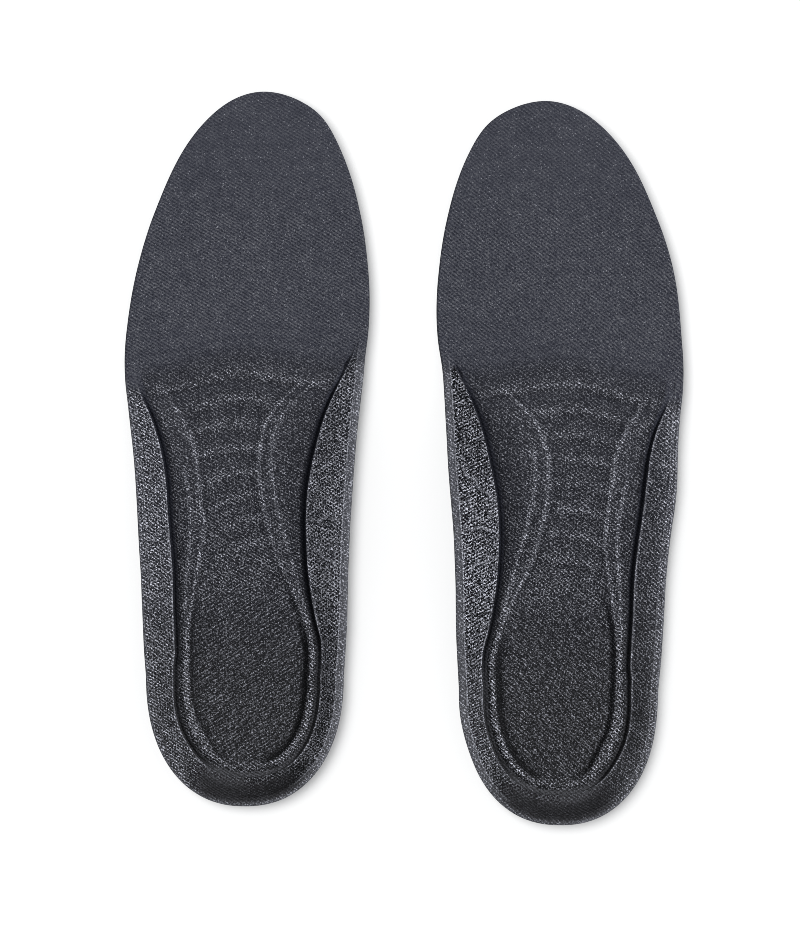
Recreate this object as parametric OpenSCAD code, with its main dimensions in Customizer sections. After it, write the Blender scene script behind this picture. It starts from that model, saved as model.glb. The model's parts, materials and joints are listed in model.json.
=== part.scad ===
// A pair of insoles: flat forefoot, sculpted footbed with a raised rim, ribs under the arch and
// an oval heel pad. X runs across the pair, Y towards the toes, Z up. The origin is on the
// ground in the middle of the pair. Each insole is modelled as a left one, heel back at Y = 0,
// outer side towards -X, inner side towards +X.

/* [Insole size] */
// Length of one insole, heel back to toe tip
insole_l = 270; // [250:1:290]
// Width across the ball of the foot
ball_w = 92; // [86:1:98]

/* [Thickness and height] */
// Thickness of the flat forefoot, cloth included
forefoot_t = 5.2; // [4.6:0.1:7]
// Height of the sculpted footbed above the ground
bed_h = 8; // [7.4:0.1:9.5]
// Height of the floor of the heel recess
recess_h = 5.9; // [5.2:0.1:6.8]
// Height of the rim round the heel
heel_rim_h = 17.5; // [15:0.5:21]
// Height of the rim over the inner arch
arch_rim_h = 22; // [17:0.5:27]
// Height of the rim on the outer side at mid foot
outer_rim_h = 15.5; // [13:0.5:19]
// Thickness of the top cloth, measured upright
cloth_t = 1; // [0.7:0.1:1.3]

/* [Relief] */
// Number of cross ribs under the arch
ribs = 8; // [4:1:9]
// Distance between two ribs
rib_pitch = 9.4; // [7:0.1:10]
// Height of a rib over its valley
rib_h = 1.2; // [0.4:0.1:1.6]
// Height of the curved rails beside the ribs
rail_h = 1.1; // [0.4:0.1:1.6]
// Depth of the groove at the foot of the side flanges
groove_d = 3; // [1.5:0.1:3.4]

/* [Heel pad] */
// Length of the oval heel pad
pad_l = 52; // [40:1:56]
// Width of the oval heel pad
pad_w = 34; // [26:1:36]
// Thickness of the heel pad
pad_t = 1.6; // [1:0.1:1.8]

/* [Fit and flex] */
// Bond line left free between two layers
bond = 0.1; // [0.06:0.01:0.15]
// Place of the flex line, as a share of the length from the heel
flex_at = 0.687; // [0.67:0.001:0.7]
// Slant of the flex line across the foot, forward on the inner side
flex_slant = 13; // [8:1:15]
// Slit at the flex line between the rear and the forefoot solids
flex_slit = 0.1; // [0.06:0.01:0.2]

/* [Pair] */
// Distance between the two centre lines
pair_gap = 118.8; // [105:0.2:150]
// How much further forward the left insole lies
pair_stagger = 4.9; // [0:0.1:12]
// Turn of the right insole, clockwise from above
pair_turn = 0.5; // [0:0.1:3]
// Length of the left insole, as a share of insole_l
left_long = 0.9945; // [0.985:0.0005:1.015]
// Length of the right insole, as a share of insole_l
right_long = 1.007; // [0.985:0.0005:1.015]
// Width of the right insole, as a share of the left one's
right_wide = 1.018; // [0.985:0.001:1.025]

/* [Hidden] */
$fn = 48;

// Plan tables are drawn for this size, then scaled in X and Y; heights are not scaled
pattern_l = 270;
pattern_w = 92;
length_scale = insole_l / pattern_l;
width_scale = ball_w / pattern_w;
// Length and width shares of the insole being built, set by left() and right()
$long = 1;
$wide = 1;
function scaled(p) = [p[0] * width_scale * $wide, p[1] * length_scale * $long];

// ---- interpolation ----
function mix(a, b, t) = a + (b - a) * t;
function clamp01(t) = min(1, max(0, t));
// Eased step from 0 to 1 over span = [start, end]
function ramp(x, span) =
    let (t = clamp01((x - span[0]) / (span[1] - span[0]))) t * t * (3 - 2 * t);
function segment(y, table, i = 0) =
    (i >= len(table) - 2 || y < table[i + 1][0]) ? i : segment(y, table, i + 1);
function slope(table, i) =
    let (a = table[max(i - 1, 0)], b = table[min(i + 1, len(table) - 1)])
    (b[1] - a[1]) / (b[0] - a[0]);
// Cubic Hermite curve through a table of [position, value]
function smooth(y, table) =
    let (i = segment(y, table), start = table[i], end = table[i + 1],
         h = end[0] - start[0], t = clamp01((y - start[0]) / h), rest = 1 - t,
         m = slope(table, i) * h, n = slope(table, i + 1) * h)
    start[1] * (1 + 2 * t) * rest * rest + m * t * rest * rest
    + end[1] * t * t * (3 - 2 * t) + n * t * t * (t - 1);

// ---- plan ----
outer = -1;
inner = 1;
heel_c = 50;      // Y of the centre of the rounded heel
heel_rx = 37;     // half width of the heel there
heel_n = 2.25;    // squareness of the heel curve
// Edges, [Y, X]
outer_side = [
    [50, -37], [70, -38.1], [90, -39], [110, -40.1], [130, -41.5], [150, -43.8],
    [165, -45.4], [175, -45.3], [190, -43.4], [205, -40.3], [220, -35.9], [235, -30]];
inner_side = [
    [50, 37], [70, 38], [90, 38.5], [110, 39.5], [130, 40.8], [150, 42.8],
    [165, 44.3], [180, 46], [195, 46.4], [210, 45.2], [222, 43.4], [235, 40.2]];
// Toe end from the outer to the inner side, [X, Y]
toe_curve = [
    [-30, 235], [-26, 243.5], [-20.6, 252.5], [-13, 261], [-4, 267.3],
    [6, 270], [17, 268.2], [27.5, 261.6], [34.4, 251], [40.2, 235]];
// Lengthwise line where the two halves of the footbed meet, [Y, X]
spine = [[50, 0], [80, -1], [110, -4.6], [135, -5.4], [160, -3], [186, 0], [200, 0]];
function edge_x(side, y) = smooth(y, side == outer ? outer_side : inner_side);

flex_y = pattern_l * flex_at;
// Y where the slanted flex line meets the edge, found by repeated substitution
function flex_edge(side, y = flex_y, n = 6) =
    n == 0 ? y : flex_edge(side, flex_y + tan(flex_slant) * edge_x(side, y), n - 1);

// ---- relief tables: the first column is the place along the edge, 0 at the heel back,
// heel_c at the end of the heel curve, then Y ----
// Inset of the groove bottom from the edge
groove_outer = [
    [0, 11], [25, 11.2], [50, 10.8], [62, 12.2], [80, 11.8], [109, 11.5],
    [127, 11.1], [145, 8.8], [157, 5.2], [165, 4.4], [190, 4.4]];
groove_inner = [
    [0, 11], [25, 9.8], [50, 9.1], [68, 11.3], [84, 14.7], [102, 16.7],
    [119, 17.1], [133, 15.6], [151, 12.2], [168, 5.4], [176, 4.4], [200, 4.4]];
// Inset of the rail's border nearest the edge
rail_near_outer = [
    [0, 12.6], [25, 13], [50, 12.4], [75, 14.9], [92, 17], [109, 18.6],
    [132, 16], [148, 11.6], [158, 7.4], [168, 6.4], [190, 6.4]];
rail_near_inner = [
    [0, 12.6], [25, 11.6], [50, 10.8], [67, 12.8], [92, 20.7], [109, 26.4],
    [123, 29.9], [136, 30.2], [147, 27], [156, 19.2], [168, 10], [200, 8]];
// Inset of the rail's border farthest from the edge
rail_far_outer = [
    [0, 15.5], [12, 17], [22, 19.6], [35, 18.4], [50, 16.5], [69, 17.8], [89, 21.8],
    [98, 24.2], [123, 23.3], [136, 22.4], [143, 19.7], [157, 14.6], [170, 11], [190, 10]];
rail_far_inner = [
    [0, 15.5], [28, 15.3], [50, 13.8], [66, 15], [79, 19], [94, 28.3], [109, 33.3],
    [123, 36.1], [136, 35.9], [147, 33.3], [157, 23], [170, 15], [200, 12]];
// Height of the rim
rim_outer = [
    [0, heel_rim_h], [50, heel_rim_h - 0.5], [85, (heel_rim_h + outer_rim_h) / 2],
    [115, outer_rim_h], [140, 0.62 * outer_rim_h + 2], [156, 7.6],
    [166, forefoot_t], [200, forefoot_t]];
rim_inner = [
    [0, heel_rim_h], [50, heel_rim_h + 0.3], [85, (heel_rim_h + arch_rim_h) / 2 + 0.5],
    [115, arch_rim_h], [135, arch_rim_h - 2.2], [155, 13], [168, 7.4],
    [178, forefoot_t], [200, forefoot_t]];
// Height of the lip between the flange and the groove
lip_outer = [
    [0, 9.4], [60, 9.4], [110, 9.2], [140, 8.6], [155, 7], [164, forefoot_t], [200, forefoot_t]];
lip_inner = [
    [0, 9.4], [60, 9.6], [110, 10.2], [140, 9.8], [158, 8.4], [170, 6],
    [177, forefoot_t], [200, forefoot_t]];
// Inset at which the underside reaches the ground
foot_outer = [[0, 7], [200, 7]];
foot_inner = [[0, 7], [50, 7], [80, 11], [115, 16], [150, 13], [175, 6], [200, 6]];

// Spans of Y over which a feature fades out
recess_fade = [84, 96];
rail_fade = [150, 166];
base_fade = [140, 163];
// The same, as places along the edge
groove_fade_outer = [146, 163];
groove_fade_inner = [152, 175];

// ---- rows across the foot, from the heel centre to the flex line ----
edge_drop = 4.5;                    // how far a row falls back at the edges
heel_rows = [50, 57, 64, 71, 78, 85, 90, 93.8];
first_rib_y = heel_c + 47.5;
last_rib_y = first_rib_y + (ribs - 1) * rib_pitch;
run_out = 3.6;                      // spacing of the two rows after the last rib
// [Y on the spine, drop at the edges]; the rib rows are crest, valley, ... crest
rows = concat(
    [for (y = heel_rows) [y, edge_drop * ramp(y, [60, 97])]],
    [for (k = [0 : 2 * ribs - 2]) [first_rib_y + k * rib_pitch / 2, edge_drop]],
    [for (k = [1, 2]) [last_rib_y + k * run_out, edge_drop]],
    [[flex_y, 0]]);
rib_row = len(heel_rows);           // first rib
end_row = rib_row + 2 * ribs - 1;   // first row after the ribs
flex_row = len(rows) - 1;
function spine_pt(r) = [smooth(rows[r][0], spine), rows[r][0]];

// ---- lines from the spine to the edge: outer flex end, round the heel, inner flex end ----
heel_sectors = 16;
first_heel_line = flex_row + 1;
first_inner_line = first_heel_line + heel_sectors - 1;
LINES = [0 : first_inner_line + flex_row];
function is_outer(i) = i < first_heel_line + heel_sectors / 2 - 0.5;
// Row of a line, -1 for the lines fanning round the heel
function line_row(i) =
    i < first_heel_line ? flex_row - i : i < first_inner_line ? -1 : i - first_inner_line;
// Row where a line starts on the spine
function root_row(i) = max(0, line_row(i));
// Place round the heel: -1 outer, 0 back, 1 inner
function heel_turn(i) = 2 * (i - flex_row) / heel_sectors - 1;
function heel_pt(q) = [
    heel_rx * sign(q) * pow(abs(sin(90 * q)), 2 / heel_n),
    heel_c - heel_c * pow(abs(cos(90 * q)), 2 / heel_n)];
function line_end(i) =
    let (r = line_row(i), side = is_outer(i) ? outer : inner,
         y = r == flex_row ? flex_edge(side) : rows[root_row(i)][0] - rows[root_row(i)][1])
    r < 0 ? heel_pt(heel_turn(i)) : [edge_x(side, y), y];
// Place along the edge, as in the relief tables
function edge_place(i) = line_row(i) < 0 ? heel_c * abs(heel_turn(i)) : line_end(i)[1];
function at_edge(i, outer_table, inner_table) =
    smooth(edge_place(i), is_outer(i) ? outer_table : inner_table);

// Insets of the nine stations on a line: edge, rim top, rim back, lip, groove bottom,
// groove side, then near border, crest and far border of the rail
STATIONS = 9;
function line_insets(i) =
    let (groove = at_edge(i, groove_outer, groove_inner),
         near = max(groove + 1.8, at_edge(i, rail_near_outer, rail_near_inner)),
         far = max(near + 2.6, at_edge(i, rail_far_outer, rail_far_inner)))
    [0, 1.3, 2.8, groove - 1.3, groove, groove + 1.2, near, (near + far) / 2, far];

// Point on a line at an inset: heel and flex lines are straight, the others are bent
function line_pt(i, inset) =
    let (r = line_row(i), root = spine_pt(root_row(i)), reach = line_end(i) - root,
         f = 1 - inset / (r < 0 ? norm(reach) : abs(reach[0])),
         bend = r < 0 || r == flex_row ? 1 : 2)
    [root[0] + reach[0] * f, root[1] + reach[1] * pow(f, bend)];

// ---- heights ----
function raised(r) = r > end_row ? 0 : r == end_row ? 0.45 : 1;
function bed_z(r) = mix(forefoot_t, bed_h, raised(r));
function hollow(r) = 1 - ramp(rows[r][0], recess_fade);
function rib_z(r) =
    r < rib_row || r >= end_row ? 0 : ((r - rib_row) % 2 == 0 ? 0.5 : -0.5) * rib_h;
function spine_z(r) = mix(bed_z(r) + rib_z(r), recess_h, hollow(r));
function rim_z(i) = max(forefoot_t, at_edge(i, rim_outer, rim_inner));

// Top of the cloth at each station of a line
function top_z(i) =
    let (r = root_row(i), bed = bed_z(r), rim = rim_z(i),
         rounding = ramp(rim, [forefoot_t, 9]),
         lip = max(bed * 0.999, forefoot_t, at_edge(i, lip_outer, lip_inner)),
         groove = 1 - ramp(edge_place(i), is_outer(i) ? groove_fade_outer : groove_fade_inner),
         rail = raised(r) * (1 - ramp(rows[r][0], rail_fade)))
    [rim - 0.7 * rounding - 0.1, rim, rim - 0.2 * rounding,
     lip, lip - groove_d * groove, mix(lip, bed, groove) - 0.9 * groove,
     bed + 0.1 * rail, bed + rail_h * rail, mix(bed, recess_h + 0.3, hollow(r))];

// Underside, curving up from the ground towards the rim
function under_z(i, inset) =
    let (foot = at_edge(i, foot_outer, foot_inner))
    inset >= foot ? 0 : 0.97 * (rim_z(i) - forefoot_t) * pow(1 - inset / foot, 1.35);

// Share of the height below the cloth that the base takes
function base_share(r) =
    r > end_row ? 0 : r == end_row ? 0.16 : 0.45 - 0.13 * ramp(rows[r][0], base_fade);

INSETS = [for (i = LINES) line_insets(i)];
TOP = [for (i = LINES) top_z(i)];
UNDER = [for (i = LINES) [for (inset = INSETS[i]) under_z(i, inset)]];
PLAN = [for (i = LINES) [for (inset = INSETS[i]) line_pt(i, inset)]];

// Surfaces that bound the layers, from the top down
cloth_top = 0;
cloth_under = 1;
foam_top = 2;
foam_under = 3;
base_top = 4;
underside = 5;
function level_z(top, under, share, level) =
    let (cloth = top - cloth_t, foam = under + (cloth - bond - under) * share)
    [top, cloth, cloth - bond, foam, foam - bond, under][level];

// ---- one layer between two levels, up to last_row, from first_station inwards ----
module layer(upper, lower, last_row, first_station) {
    ids = [for (i = LINES) if (line_row(i) <= last_row) i];
    lines = len(ids);
    per_line = STATIONS - first_station;
    spine_start = lines * per_line;
    sheet_size = spine_start + last_row + 1;

    // Points of one sheet: the stations line by line, then the spine
    function sheet(level) = concat(
        [for (i = ids) for (k = [first_station : STATIONS - 1]) concat(scaled(PLAN[i][k]),
            [level_z(TOP[i][k], UNDER[i][k], base_share(root_row(i)), level)])],
        [for (r = [0 : last_row]) concat(scaled(spine_pt(r)),
            [level_z(spine_z(r), 0, base_share(r), level)])]);

    function cell(j, k) =
        let (a = j * per_line + k, b = a + per_line)
        [[b + 1, b, a], [a + 1, b + 1, a]];
    // Between the innermost stations of two lines and the spine
    function core(j) =
        let (a = j * per_line + per_line - 1, b = a + per_line,
             p = spine_start + root_row(ids[j]), q = spine_start + root_row(ids[j + 1]))
        p == q ? [[p, b, a]] : [[q, b, a], [p, q, a]];
    up = [for (j = [0 : lines - 2])
        each concat([for (k = [0 : per_line - 2]) each cell(j, k)], core(j))];
    down = [for (f = up) [f[2] + sheet_size, f[1] + sheet_size, f[0] + sheet_size]];

    // Border of the sheet: along the edge, then across the front end
    ring = concat(
        [for (j = [0 : lines - 1]) j * per_line],
        [for (k = [1 : per_line - 1]) (lines - 1) * per_line + k],
        [spine_start + last_row],
        [for (k = [per_line - 1 : -1 : 1]) k]);
    wall = [for (j = [0 : len(ring) - 1])
        let (a = ring[j], b = ring[(j + 1) % len(ring)], a_low = a + sheet_size)
        each [[a_low, a, b], [b + sheet_size, a_low, b]]];
    polyhedron(points = concat(sheet(upper), sheet(lower)), faces = concat(up, down, wall));
}

// ---- flat forefoot, ahead of the flex line ----
toe_lead_y = 226;   // edge points here steer the two ends of the toe curve
toe_guides = concat([[edge_x(outer, toe_lead_y), toe_lead_y]], toe_curve,
                    [[edge_x(inner, toe_lead_y), toe_lead_y]]);
side_step = 6;
side_end_y = 234;
// Catmull-Rom curve through toe_curve
function toe_pt(t) =
    let (i = min(len(toe_curve) - 2, floor(t)), u = t - i,
         p0 = toe_guides[i], p1 = toe_guides[i + 1],
         p2 = toe_guides[i + 2], p3 = toe_guides[i + 3])
    0.5 * (2 * p1 + (p2 - p0) * u + (2 * p0 - 5 * p1 + 4 * p2 - p3) * u * u
           + (3 * p1 - p0 - 3 * p2 + p3) * u * u * u);

module forefoot_plan() {
    outer_y = flex_edge(outer) + flex_slit / cos(flex_slant);
    inner_y = flex_edge(inner) + flex_slit / cos(flex_slant);
    outer_start = ceil(outer_y / side_step) * side_step;
    outline = concat(
        [[edge_x(outer, outer_y), outer_y]],
        [for (y = [outer_start : side_step : side_end_y]) [edge_x(outer, y), y]],
        [for (t = [0 : 0.25 : len(toe_curve) - 1]) toe_pt(t)],
        [for (y = [side_end_y : -side_step : inner_y + 1]) [edge_x(inner, y), y]],
        [[edge_x(inner, inner_y), inner_y]]);
    polygon([for (p = outline) scaled(p)]);
}

// ---- heel pad and its pocket ----
pad_pos = [1.4, 52];
pad_play = 0.4;     // pocket over pad, in length and width
pad_headroom = 0.1;
pocket_below = 1;   // the pocket cut starts this far under the ground
module pad_oval(play, z, height) {
    translate(concat(scaled(pad_pos), [z])) linear_extrude(height)
        polygon([for (a = [0 : 9 : 351])
            [(pad_w + play) / 2 * cos(a), (pad_l + play) / 2 * sin(a)]]);
}

// ---- pieces of one insole, left hand ----
module top_cover_rear() { color("#4d4f59") layer(cloth_top, cloth_under, flex_row, 0); }
module top_cover_forefoot() {
    color("#50525c") translate([0, 0, forefoot_t - cloth_t])
        linear_extrude(cloth_t) forefoot_plan();
}
module cushion_rear() { color("#303137") layer(foam_top, foam_under, flex_row, 0); }
module cushion_forefoot() {
    color("#303137") linear_extrude(forefoot_t - cloth_t - bond) forefoot_plan();
}
module support_base() {
    color("#202125") difference() {
        layer(base_top, underside, end_row, 1);
        pad_oval(pad_play, -pocket_below, pocket_below + pad_t + pad_headroom);
    }
}
module heel_pad() { color("#3f4654") pad_oval(0, 0, pad_t); }

// ---- the pair ----
right_back_share = 0.4;   // share of the right insole's extra length that goes to the heel
module left() {
    $long = left_long;
    translate([-pair_gap / 2, (pair_stagger + insole_l) / 2 - insole_l * left_long, 0])
        children();
}
module right() {
    $long = right_long;
    $wide = right_wide;
    translate([pair_gap / 2, -pair_stagger / 2, 0]) rotate([0, 0, -pair_turn])
        translate([0, -insole_l * (0.5 + right_back_share * (right_long - 1)), 0])
            mirror([1, 0, 0]) children();
}

module left_top_cover_rear() { left() top_cover_rear(); }
module left_top_cover_forefoot() { left() top_cover_forefoot(); }
module left_cushion_rear() { left() cushion_rear(); }
module left_cushion_forefoot() { left() cushion_forefoot(); }
module left_support_base() { left() support_base(); }
module left_heel_pad() { left() heel_pad(); }
module right_top_cover_rear() { right() top_cover_rear(); }
module right_top_cover_forefoot() { right() top_cover_forefoot(); }
module right_cushion_rear() { right() cushion_rear(); }
module right_cushion_forefoot() { right() cushion_forefoot(); }
module right_support_base() { right() support_base(); }
module right_heel_pad() { right() heel_pad(); }

left_top_cover_rear();
left_top_cover_forefoot();
left_cushion_rear();
left_cushion_forefoot();
left_support_base();
left_heel_pad();
right_top_cover_rear();
right_top_cover_forefoot();
right_cushion_rear();
right_cushion_forefoot();
right_support_base();
right_heel_pad();
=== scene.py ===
import json
import math
import bpy
import bmesh
import numpy as np
from mathutils import Vector, Matrix


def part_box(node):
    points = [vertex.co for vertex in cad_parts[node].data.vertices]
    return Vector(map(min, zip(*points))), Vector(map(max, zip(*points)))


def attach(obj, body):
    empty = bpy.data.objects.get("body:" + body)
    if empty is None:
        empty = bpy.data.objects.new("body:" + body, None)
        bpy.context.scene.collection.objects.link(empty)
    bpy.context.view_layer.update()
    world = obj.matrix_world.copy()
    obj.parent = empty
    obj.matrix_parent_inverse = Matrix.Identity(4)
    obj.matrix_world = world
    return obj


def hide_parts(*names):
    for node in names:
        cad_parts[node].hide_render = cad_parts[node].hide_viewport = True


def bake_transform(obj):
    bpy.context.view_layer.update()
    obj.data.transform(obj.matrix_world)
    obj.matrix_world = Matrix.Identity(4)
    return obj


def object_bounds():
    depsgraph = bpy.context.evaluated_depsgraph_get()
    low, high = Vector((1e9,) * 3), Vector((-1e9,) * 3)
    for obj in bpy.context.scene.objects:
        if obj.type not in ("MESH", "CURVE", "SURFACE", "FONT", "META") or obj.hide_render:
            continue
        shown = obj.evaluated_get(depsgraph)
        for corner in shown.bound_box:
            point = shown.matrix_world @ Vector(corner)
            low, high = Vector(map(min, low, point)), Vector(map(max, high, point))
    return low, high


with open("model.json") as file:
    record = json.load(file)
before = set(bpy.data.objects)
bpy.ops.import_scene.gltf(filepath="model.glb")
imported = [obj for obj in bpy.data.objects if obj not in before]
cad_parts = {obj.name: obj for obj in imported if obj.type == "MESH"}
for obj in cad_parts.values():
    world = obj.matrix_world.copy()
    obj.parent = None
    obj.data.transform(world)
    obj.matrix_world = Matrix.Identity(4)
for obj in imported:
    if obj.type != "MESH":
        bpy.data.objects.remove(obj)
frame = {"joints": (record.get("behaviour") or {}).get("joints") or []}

cad_lo, cad_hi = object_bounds()
scene = bpy.context.scene
MM = 0.001


# ------------------------------------------------------------------ small helpers
def ramp(x, a, b):
    t = np.clip((np.asarray(x, float) - a) / (b - a), 0, 1)
    return t * t * (3 - 2 * t)


def gauss(x, c, s):
    return np.exp(-(((x - c) / s) ** 2))


def curve(x, table):
    """Smooth curve through a short list of [station, value] pairs, flat beyond its ends."""
    t = np.array(table, float)
    xs, ys = t[:, 0], t[:, 1]
    x = np.clip(np.asarray(x, float), xs[0], xs[-1])
    m = np.gradient(ys, xs)
    d = np.diff(ys) / np.diff(xs)
    m[0], m[-1] = d[0], d[-1]
    i = np.clip(np.searchsorted(xs, x, side="right") - 1, 0, len(xs) - 2)
    h = xs[i + 1] - xs[i]
    u = (x - xs[i]) / h
    return (ys[i] * (1 + 2 * u) * (1 - u) ** 2 + m[i] * h * u * (1 - u) ** 2
            + ys[i + 1] * u * u * (3 - 2 * u) + m[i + 1] * h * u * u * (u - 1))


# ------------------------------------------------------------------ plan of one insole, left hand, millimetres
# outer (little toe) side is -X, inner (big toe) side is +X, heel back at Y 0, toe tip at Y 270
OUTER = [[50, -36.9], [61, -37.7], [70, -38.1], [79, -38.5], [88.5, -38.9], [97.5, -39.5], [106.6, -40.0], [115.7, -40.5], [124.7, -41.1],
         [133.8, -41.9], [142.9, -43.0], [152, -44.1], [161, -45.2], [168, -45.5], [174, -45.3], [182, -44.5], [190, -43.4], [197.3, -42.1],
         [206.4, -40.0], [215.5, -37.4], [224.5, -34.3], [233, -30.9]]
INNER = [[50, 36.9], [61, 37.6], [70, 38.1], [79, 38.3], [88.5, 38.5], [97.5, 38.9], [106.6, 39.3], [115.7, 39.9], [124.7, 40.5],
         [133.8, 41.2], [142.9, 42.0], [152, 43.0], [161, 44.0], [170, 44.8], [179, 45.9], [188, 46.4], [197.3, 46.3], [206.4, 45.6],
         [215.5, 44.5], [224.5, 42.9], [233, 40.8]]
TOE = [[-34.9, 222.8], [-30.6, 233.6], [-26.4, 242.7], [-21.0, 251.7], [-13.2, 260.8], [-6.2, 266.2], [1.7, 269.4], [6.4, 270], [11.2, 269.6], [19.5, 266.9],
       [28.0, 261.0], [33.9, 251.8], [37.7, 242.9], [40.7, 233.6], [43.2, 222.8]]
HEEL_C, HEEL_RX, HEEL_N = 50.0, 36.9, 2.25
TOE_C = 222.0

# relief, as [distance along the edge from the heel back, inset from the edge]
GROOVE_O = [[0, 11.2], [12, 11.3], [25, 11.4], [38, 10.5], [50, 10.4], [54, 10.7], [58, 11.5], [64, 11.7], [73, 11.7], [92, 11.9], [109, 11.5], [127, 11.1], [145, 8.6], [157, 5.2], [164, 4.2], [300, 4.2]]
GROOVE_I = [[0, 11.2], [12, 10.6], [25, 9.8], [38, 9.3], [50, 9.1], [60, 9.3], [64, 9.9], [69, 11.5], [84, 14.7], [102, 16.7], [119, 17.1], [133, 15.6], [151, 12.0], [163, 7.8], [170, 5.2], [176, 4.2], [300, 4.2]]
RAIL_OUT_O = [[0, 13.0], [25, 13.2], [50, 12.4], [60, 13.6], [75, 14.9], [92, 17], [109, 18.6], [119, 17.6], [132, 16], [148, 11.6], [158, 7.6], [168, 6.4], [300, 6.4]]
RAIL_OUT_I = [[0, 13.0], [25, 11.6], [50, 10.4], [60, 10.7], [67, 12.8], [79, 16.8], [92, 20.7], [109, 26.4], [123, 29.9], [136, 30.2], [147, 27], [156, 20.2], [168, 10], [300, 8]]
RAIL_IN_O = [[0, 15.8], [12, 17], [22, 19.4], [35, 18.2], [50, 16.6], [60, 17.2], [69, 17.9], [89, 21.8], [98, 24.2], [109, 23.9], [123, 23.3], [136, 22.0], [143, 19.7], [157, 14.0], [170, 10.4], [300, 9.4]]
RAIL_IN_I = [[0, 15.8], [28, 15.4], [40, 14.6], [50, 13.8], [60, 14.2], [67, 15.8], [79, 20], [94, 28.3], [109, 33.3], [123, 36.1], [136, 35.9], [147, 32.3], [157, 25], [170, 15], [300, 12]]
RIM_O = [[0, 17.5], [50, 17], [85, 16.5], [115, 15.5], [140, 11.6], [156, 7.6], [166, 5.2], [300, 5.2]]
RIM_I = [[0, 17.5], [50, 17.8], [85, 20.25], [115, 22], [135, 19.8], [155, 13], [168, 7.4], [178, 5.2], [300, 5.2]]
LIP_O = [[0, 9.7], [60, 9.7], [110, 9.6], [140, 8.9], [155, 7.0], [164, 5.2], [300, 5.2]]
LIP_I = [[0, 9.7], [60, 9.9], [110, 10.6], [140, 10.2], [158, 8.6], [170, 6.0], [177, 5.2], [300, 5.2]]
FOOT_I = [[0, 7], [50, 7], [80, 11], [115, 16], [150, 13], [175, 6], [300, 6]]
SPINE_X = [[50, 0], [80, -1], [110, -4.6], [135, -5.4], [160, -3], [186, 0], [222, 3]]
FORE_T, BED_H, RECESS_H = 5.2, 8.0, 5.9
RIB0, RIB_PITCH, RIBS = 97.5, 9.4, 8
CLOTH_T = 0.9


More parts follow.
